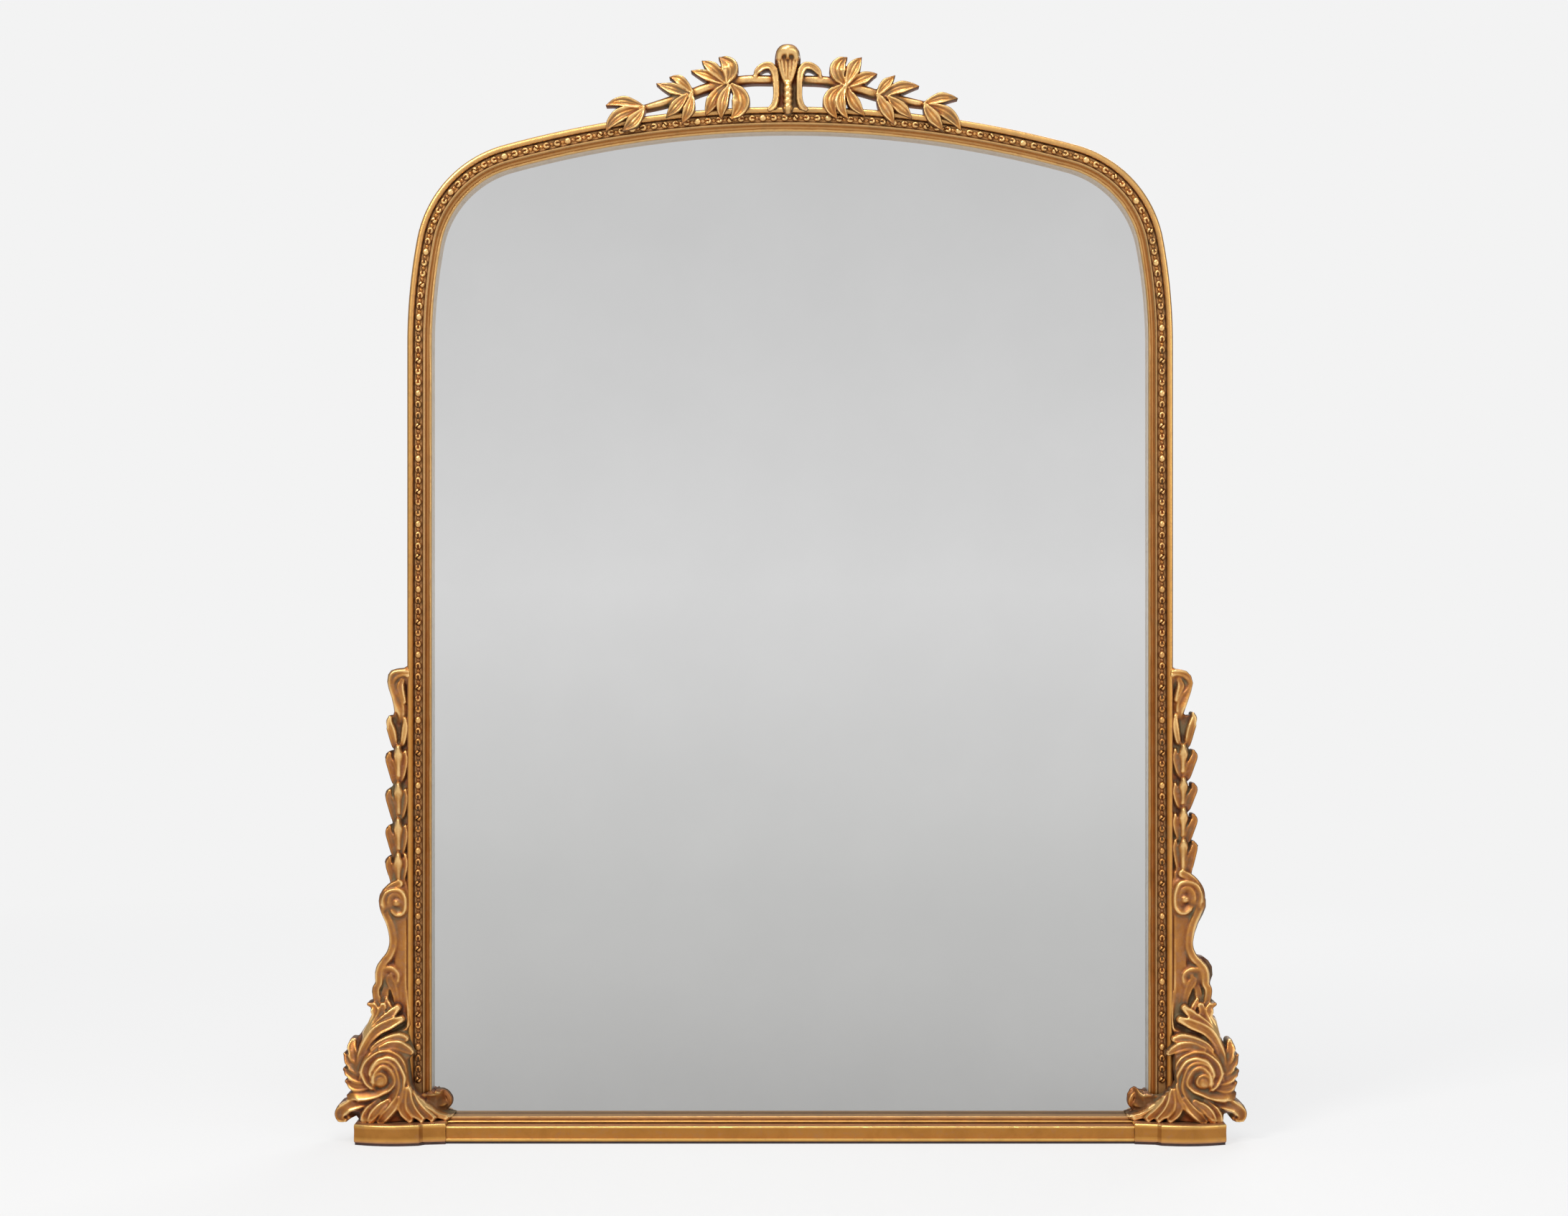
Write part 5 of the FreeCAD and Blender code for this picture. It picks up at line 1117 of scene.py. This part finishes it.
RIGHT_SPRAY = [
    (
        (17, 19, 15),
        [(45, 882, 1.8), (40.6, 887.5, 4.4), (39.6, 893.5, 5.8), (42.4, 899.5, 4.2), (46.8, 903.2, 0.8)],
    ),
    (
        (18, 19, 15),
        [(47, 881, 1.4), (50, 888, 3.6), (53, 894.5, 4.8), (56.4, 899.8, 3.0), (59.2, 903.2, 0.5)],
    ),
    (
        (16, 17, 14),
        [(49, 880, 1.4), (55, 883.4, 3.0), (61.5, 886.6, 4.2), (67, 888.8, 2.6), (72, 890, 0.5)],
    ),
    (
        (17, 18, 15),
        [(43, 879, 1.8), (35.8, 874, 3.8), (32.8, 867, 4.8), (34.4, 860, 3.6), (38.6, 853.4, 0.9)],
    ),
    (
        (18, 19, 16),
        [(45.5, 878, 1.5), (42.6, 871.5, 3.0), (42, 864.5, 3.7), (44, 858.4, 2.6), (47.8, 853, 0.7)],
    ),
    (
        (16, 17, 14),
        [(48, 877, 1.4), (50.4, 871, 3.4), (53.6, 865, 4.4), (57.8, 859.8, 2.8), (62, 855.4, 0.5)],
    ),
    (
        (16, 17, 14),
        [(73, 873, 1.4), (76.4, 877.6, 3.0), (80.5, 882, 3.7), (84, 885.4, 2.2), (87, 888.4, 0.5)],
    ),
    (
        (15, 16, 13),
        [(78, 872, 1.4), (85.5, 876.4, 3.4), (93, 879, 4.3), (100.6, 880, 2.6), (107, 880, 0.5)],
    ),
    (
        (17, 18, 15),
        [(73, 872, 1.4), (76.6, 865.5, 3.6), (80.5, 859.5, 4.5), (83.8, 853.4, 2.8), (86, 848.2, 0.5)],
    ),
    ((16, 17, 14), [(82, 870, 1.4), (87.6, 865.4, 3.4), (93, 861, 4.2), (97.4, 857, 2.6), (101, 853, 0.5)]),
    (
        (15, 16, 13),
        [(112, 865, 1.4), (119, 868, 3.0), (126, 870, 3.9), (133, 870.4, 2.4), (139.2, 869.8, 0.5)],
    ),
    (
        (17, 18, 15),
        [(112, 864, 1.4), (115.4, 858.4, 3.6), (119.5, 853, 4.6), (123.6, 847.8, 2.8), (127, 842.6, 0.5)],
    ),
    (
        (15, 16, 13),
        [(114, 863, 1.6), (122.5, 861, 3.4), (131, 857, 4.5), (137.4, 851, 3.2), (142, 843.8, 0.6)],
    ),
]
crest.dome([
    (-14, 885.6, 3.6), (-34, 885.6, 3.8), (-52, 883, 4.2), (-70, 878.4, 4.0), (-84, 873.4, 4.0),
    (-104, 866.8, 3.6), (-124, 861.4, 2.6),
], (13, 13.5, 14, 13, 12), edge=3.4)
crest.dome([
    (10, 885.6, 3.6), (30, 884.6, 3.8), (46.5, 880.6, 4.2), (62, 876.4, 4.0), (75, 872.6, 4.0),
    (94, 868.4, 3.6), (113, 865, 2.6),
], (13, 13.5, 14, 13, 12), edge=3.4)
for heights, points in LEFT_SPRAY + RIGHT_SPRAY:
    crest.leaf(points, heights, cup=2.3, rib=0.8)
crest.plump = 1.0
# the palmette: ground, flutes, stem, hood and C scrolls
HOOD_X, HOOD_Z, HOOD_RADIUS = -2.0, 902.6, 10.8
hood = [
    (HOOD_X + HOOD_RADIUS * math.cos(angle), HOOD_Z + HOOD_RADIUS * math.sin(angle))
    for angle in np.linspace(0, math.pi, 13)
]
crest.fill([(-13, 858.5), (-12.2, 884)] + hood[::-1] + [(8.2, 884), (9, 858.5)], 10)
for x_top, half_width in ((-9.2, 2.4), (-5.6, 2.6), (-2.0, 2.8), (1.6, 2.6), (5.2, 2.4)):
    crest.leaf([
        (-2 + (x_top + 2) * 0.25, 880, 0.9), (-2 + (x_top + 2) * 0.7, 892, half_width * 0.8),
        (x_top, 905, half_width),
    ], (15, 17.5, 19), cup=1.4, rib=0.0)
crest.dome([(-1.8, 858.4, 3.0), (-1.8, 881.5, 3.4)], (16, 16.5), edge=2.6)
for z in (862, 867, 872, 877):
    crest.dome([(-2.0, z, 3.5), (-1.6, z, 3.5)], (19.4, 19.4), edge=3.2)
crest.dome([
    (-9.4, 902.8, 2.8), (-8.0, 906.2, 4.0), (-5.4, 908.2, 4.8), (-2, 908.8, 4.6), (1.4, 908.2, 4.8),
    (4, 906.2, 4.0), (5.4, 902.8, 2.8),
], (20, 23, 24.4, 23, 20), edge=4.6)
crest.dome([(-2, 902.2, 1.2), (-2, 908, 1.8)], (23.0, 24.2), edge=1.6)
for sign, shift in ((-1, 0.0), (1, -4.0)):
    scroll = [
        (-29.4, 888.2, 1.4), (-27, 892.4, 2.6), (-22.4, 895.8, 3.0), (-17, 896.4, 3.2), (-13.4, 892.6, 3.2),
        (-12, 885.6, 2.8), (-11.6, 877, 2.6), (-11.8, 869.4, 2.6), (-13.6, 863.6, 2.6), (-17, 860.6, 2.0),
    ]
    scroll = [(x if sign < 0 else shift - x, z, w) for x, z, w in scroll]
    crest.leaf(scroll, (15, 17, 17, 16, 15), cup=1.6, rib=0.5)
crest.finish()
CROWN_EDGE = CROWN[2] + 19.7
CREST_DRAWN_Y, CREST_REAR = -19.0, 4.0
PALMETTE_LEFT, PALMETTE_RIGHT = -30.5, 26.5


def crest_depth(x, z):
    """The depth at which the crest was drawn."""
    return np.full(x.shape, CREST_DRAWN_Y)


def behind_crest(x, z):
    """How far back the crest reaches: to its own rear, or to the front of the arched rail."""
    return np.where(np.hypot(x - CROWN[0], z - CROWN[1]) > CROWN_EDGE, CREST_REAR, STILE_FRONT)


for name, node, keep in (
    ("left_spray_carving", "left_crest_spray", lambda x, z: x < PALMETTE_LEFT),
    ("palmette_carving", "crest_palmette", lambda x, z: (x >= PALMETTE_LEFT) & (x < PALMETTE_RIGHT)),
    ("right_spray_carving", "right_crest_spray", lambda x, z: x >= PALMETTE_RIGHT),
):
    dress(crest.piece(name, keep, crest_depth, behind_crest), GILT, "gilt_carving", node, back=CARVING_BACK)

# ------------------------------------------------------------------ what the solids already shape
for node, material in (
    ("base_pad", DARK_PAD_AND_SHADOW), ("mirror_glass", MIRROR), ("backing_board", BOARD), ("board_clips", STEEL),
    ("clip_screws", STEEL), ("hanger_straps", STEEL), ("hanger_screws", STEEL),
    ("left_hanger_ring", RING_STEEL), ("right_hanger_ring", RING_STEEL), ("crest_dowels", DOWEL),
    ("side_dowels", DOWEL), ("wall_bumpers", RUBBER),
):
    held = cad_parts[node].data.materials
    held.clear()
    held.append(material)

# ------------------------------------------------------------------ floor, world, lights, camera
PALE = linear(243, 243, 243)
ROOM = linear(176, 178, 182)

world = bpy.data.worlds.new("room")
n = Nodes(world)
room = n.mix(n.seen_pale(), ROOM, PALE)
# bright in front and overhead, dimmer at the sides, for what the gilding reflects
aside = n.maths("ABSOLUTE", n.along("X", n.node("TexCoord").outputs["Generated"]))
dim = n.ramp(aside, (0.3, 1.0), (0.8, 0.3))
room = n.mix(n.node("LightPath").outputs["Is Glossy Ray"], room, dim, "MULTIPLY")
n.join(room, n.tree.nodes["Background"].inputs["Color"])
bpy.context.scene.world = world

FLOOR_HALF, FLOOR_GLOW = 5.0, 0.75  # metres, and how much of its own light the floor near the mirror has
floor_mesh = bpy.data.meshes.new("floor")
corners = [(x * FLOOR_HALF, y * FLOOR_HALF, 0) for x, y in ((-1, -1), (1, -1), (1, 1), (-1, 1))]
floor_mesh.from_pydata(corners, [], [[0, 1, 2, 3]])
floor = bpy.data.objects.new("floor", floor_mesh)
bpy.context.scene.collection.objects.link(floor)
n = Surface("floor")
n.set(base_color=PALE, roughness=0.9)
glow = n.node("Emission")
glow.inputs["Color"].default_value = PALE
blend = n.node("MixShader")
far = n.node("VectorMath")
far.operation = "LENGTH"
n.join(n.place, far.inputs[0])
share = n.ramp(n.maths("MULTIPLY", far.outputs["Value"], 0.25), (0.15, FLOOR_GLOW), (0.6, 1.0))
n.join(n.maths("MULTIPLY", share, n.seen_pale()), blend.inputs[0])
n.join(n.shader.outputs[0], blend.inputs[1])
n.join(glow.outputs[0], blend.inputs[2])
n.join(blend.outputs[0], n.tree.nodes["Material Output"].inputs["Surface"])
floor_mesh.materials.append(n.material)


def lamp(name, place, energy, size, colour, aim=(0.0, 0.0, 0.45)):
    """A square lamp that points at aim."""
    light = bpy.data.lights.new(name, "AREA")
    light.energy, light.size, light.color = energy, size, colour
    holder = bpy.data.objects.new(name, light)
    holder.location = place
    holder.rotation_euler = (Vector(aim) - Vector(place)).to_track_quat("-Z", "Y").to_euler()
    bpy.context.scene.collection.objects.link(holder)


lamp("key_lamp", (-1.5, -2.3, 2.3), 55.0, 0.8, (1.0, 0.97, 0.92))
lamp("fill_lamp", (2.2, -2.0, 1.0), 14.0, 1.2, (0.95, 0.98, 1.0))
lamp("top_lamp", (0.0, -0.9, 2.4), 16.0, 0.7, (1.0, 0.98, 0.95), (0.0, 0.0, 0.8))
lamp("rear_lamp", (0.8, 2.4, 2.0), 30.0, 1.2, (1.0, 1.0, 1.0))

camera = bpy.data.cameras.new("camera")
camera.sensor_width = SENSOR
camera.lens = SENSOR * CAMERA_DISTANCE / PICTURE_WIDTH
eye = bpy.data.objects.new("camera", camera)
eye.location = (CAMERA_X * MM, (DRAWN_Y - CAMERA_DISTANCE) * MM, CAMERA_Z * MM)
eye.rotation_euler = (math.pi / 2, 0, 0)
bpy.context.scene.collection.objects.link(eye)
bpy.context.scene.camera = eye
bpy.context.scene.view_settings.view_transform = "Standard"
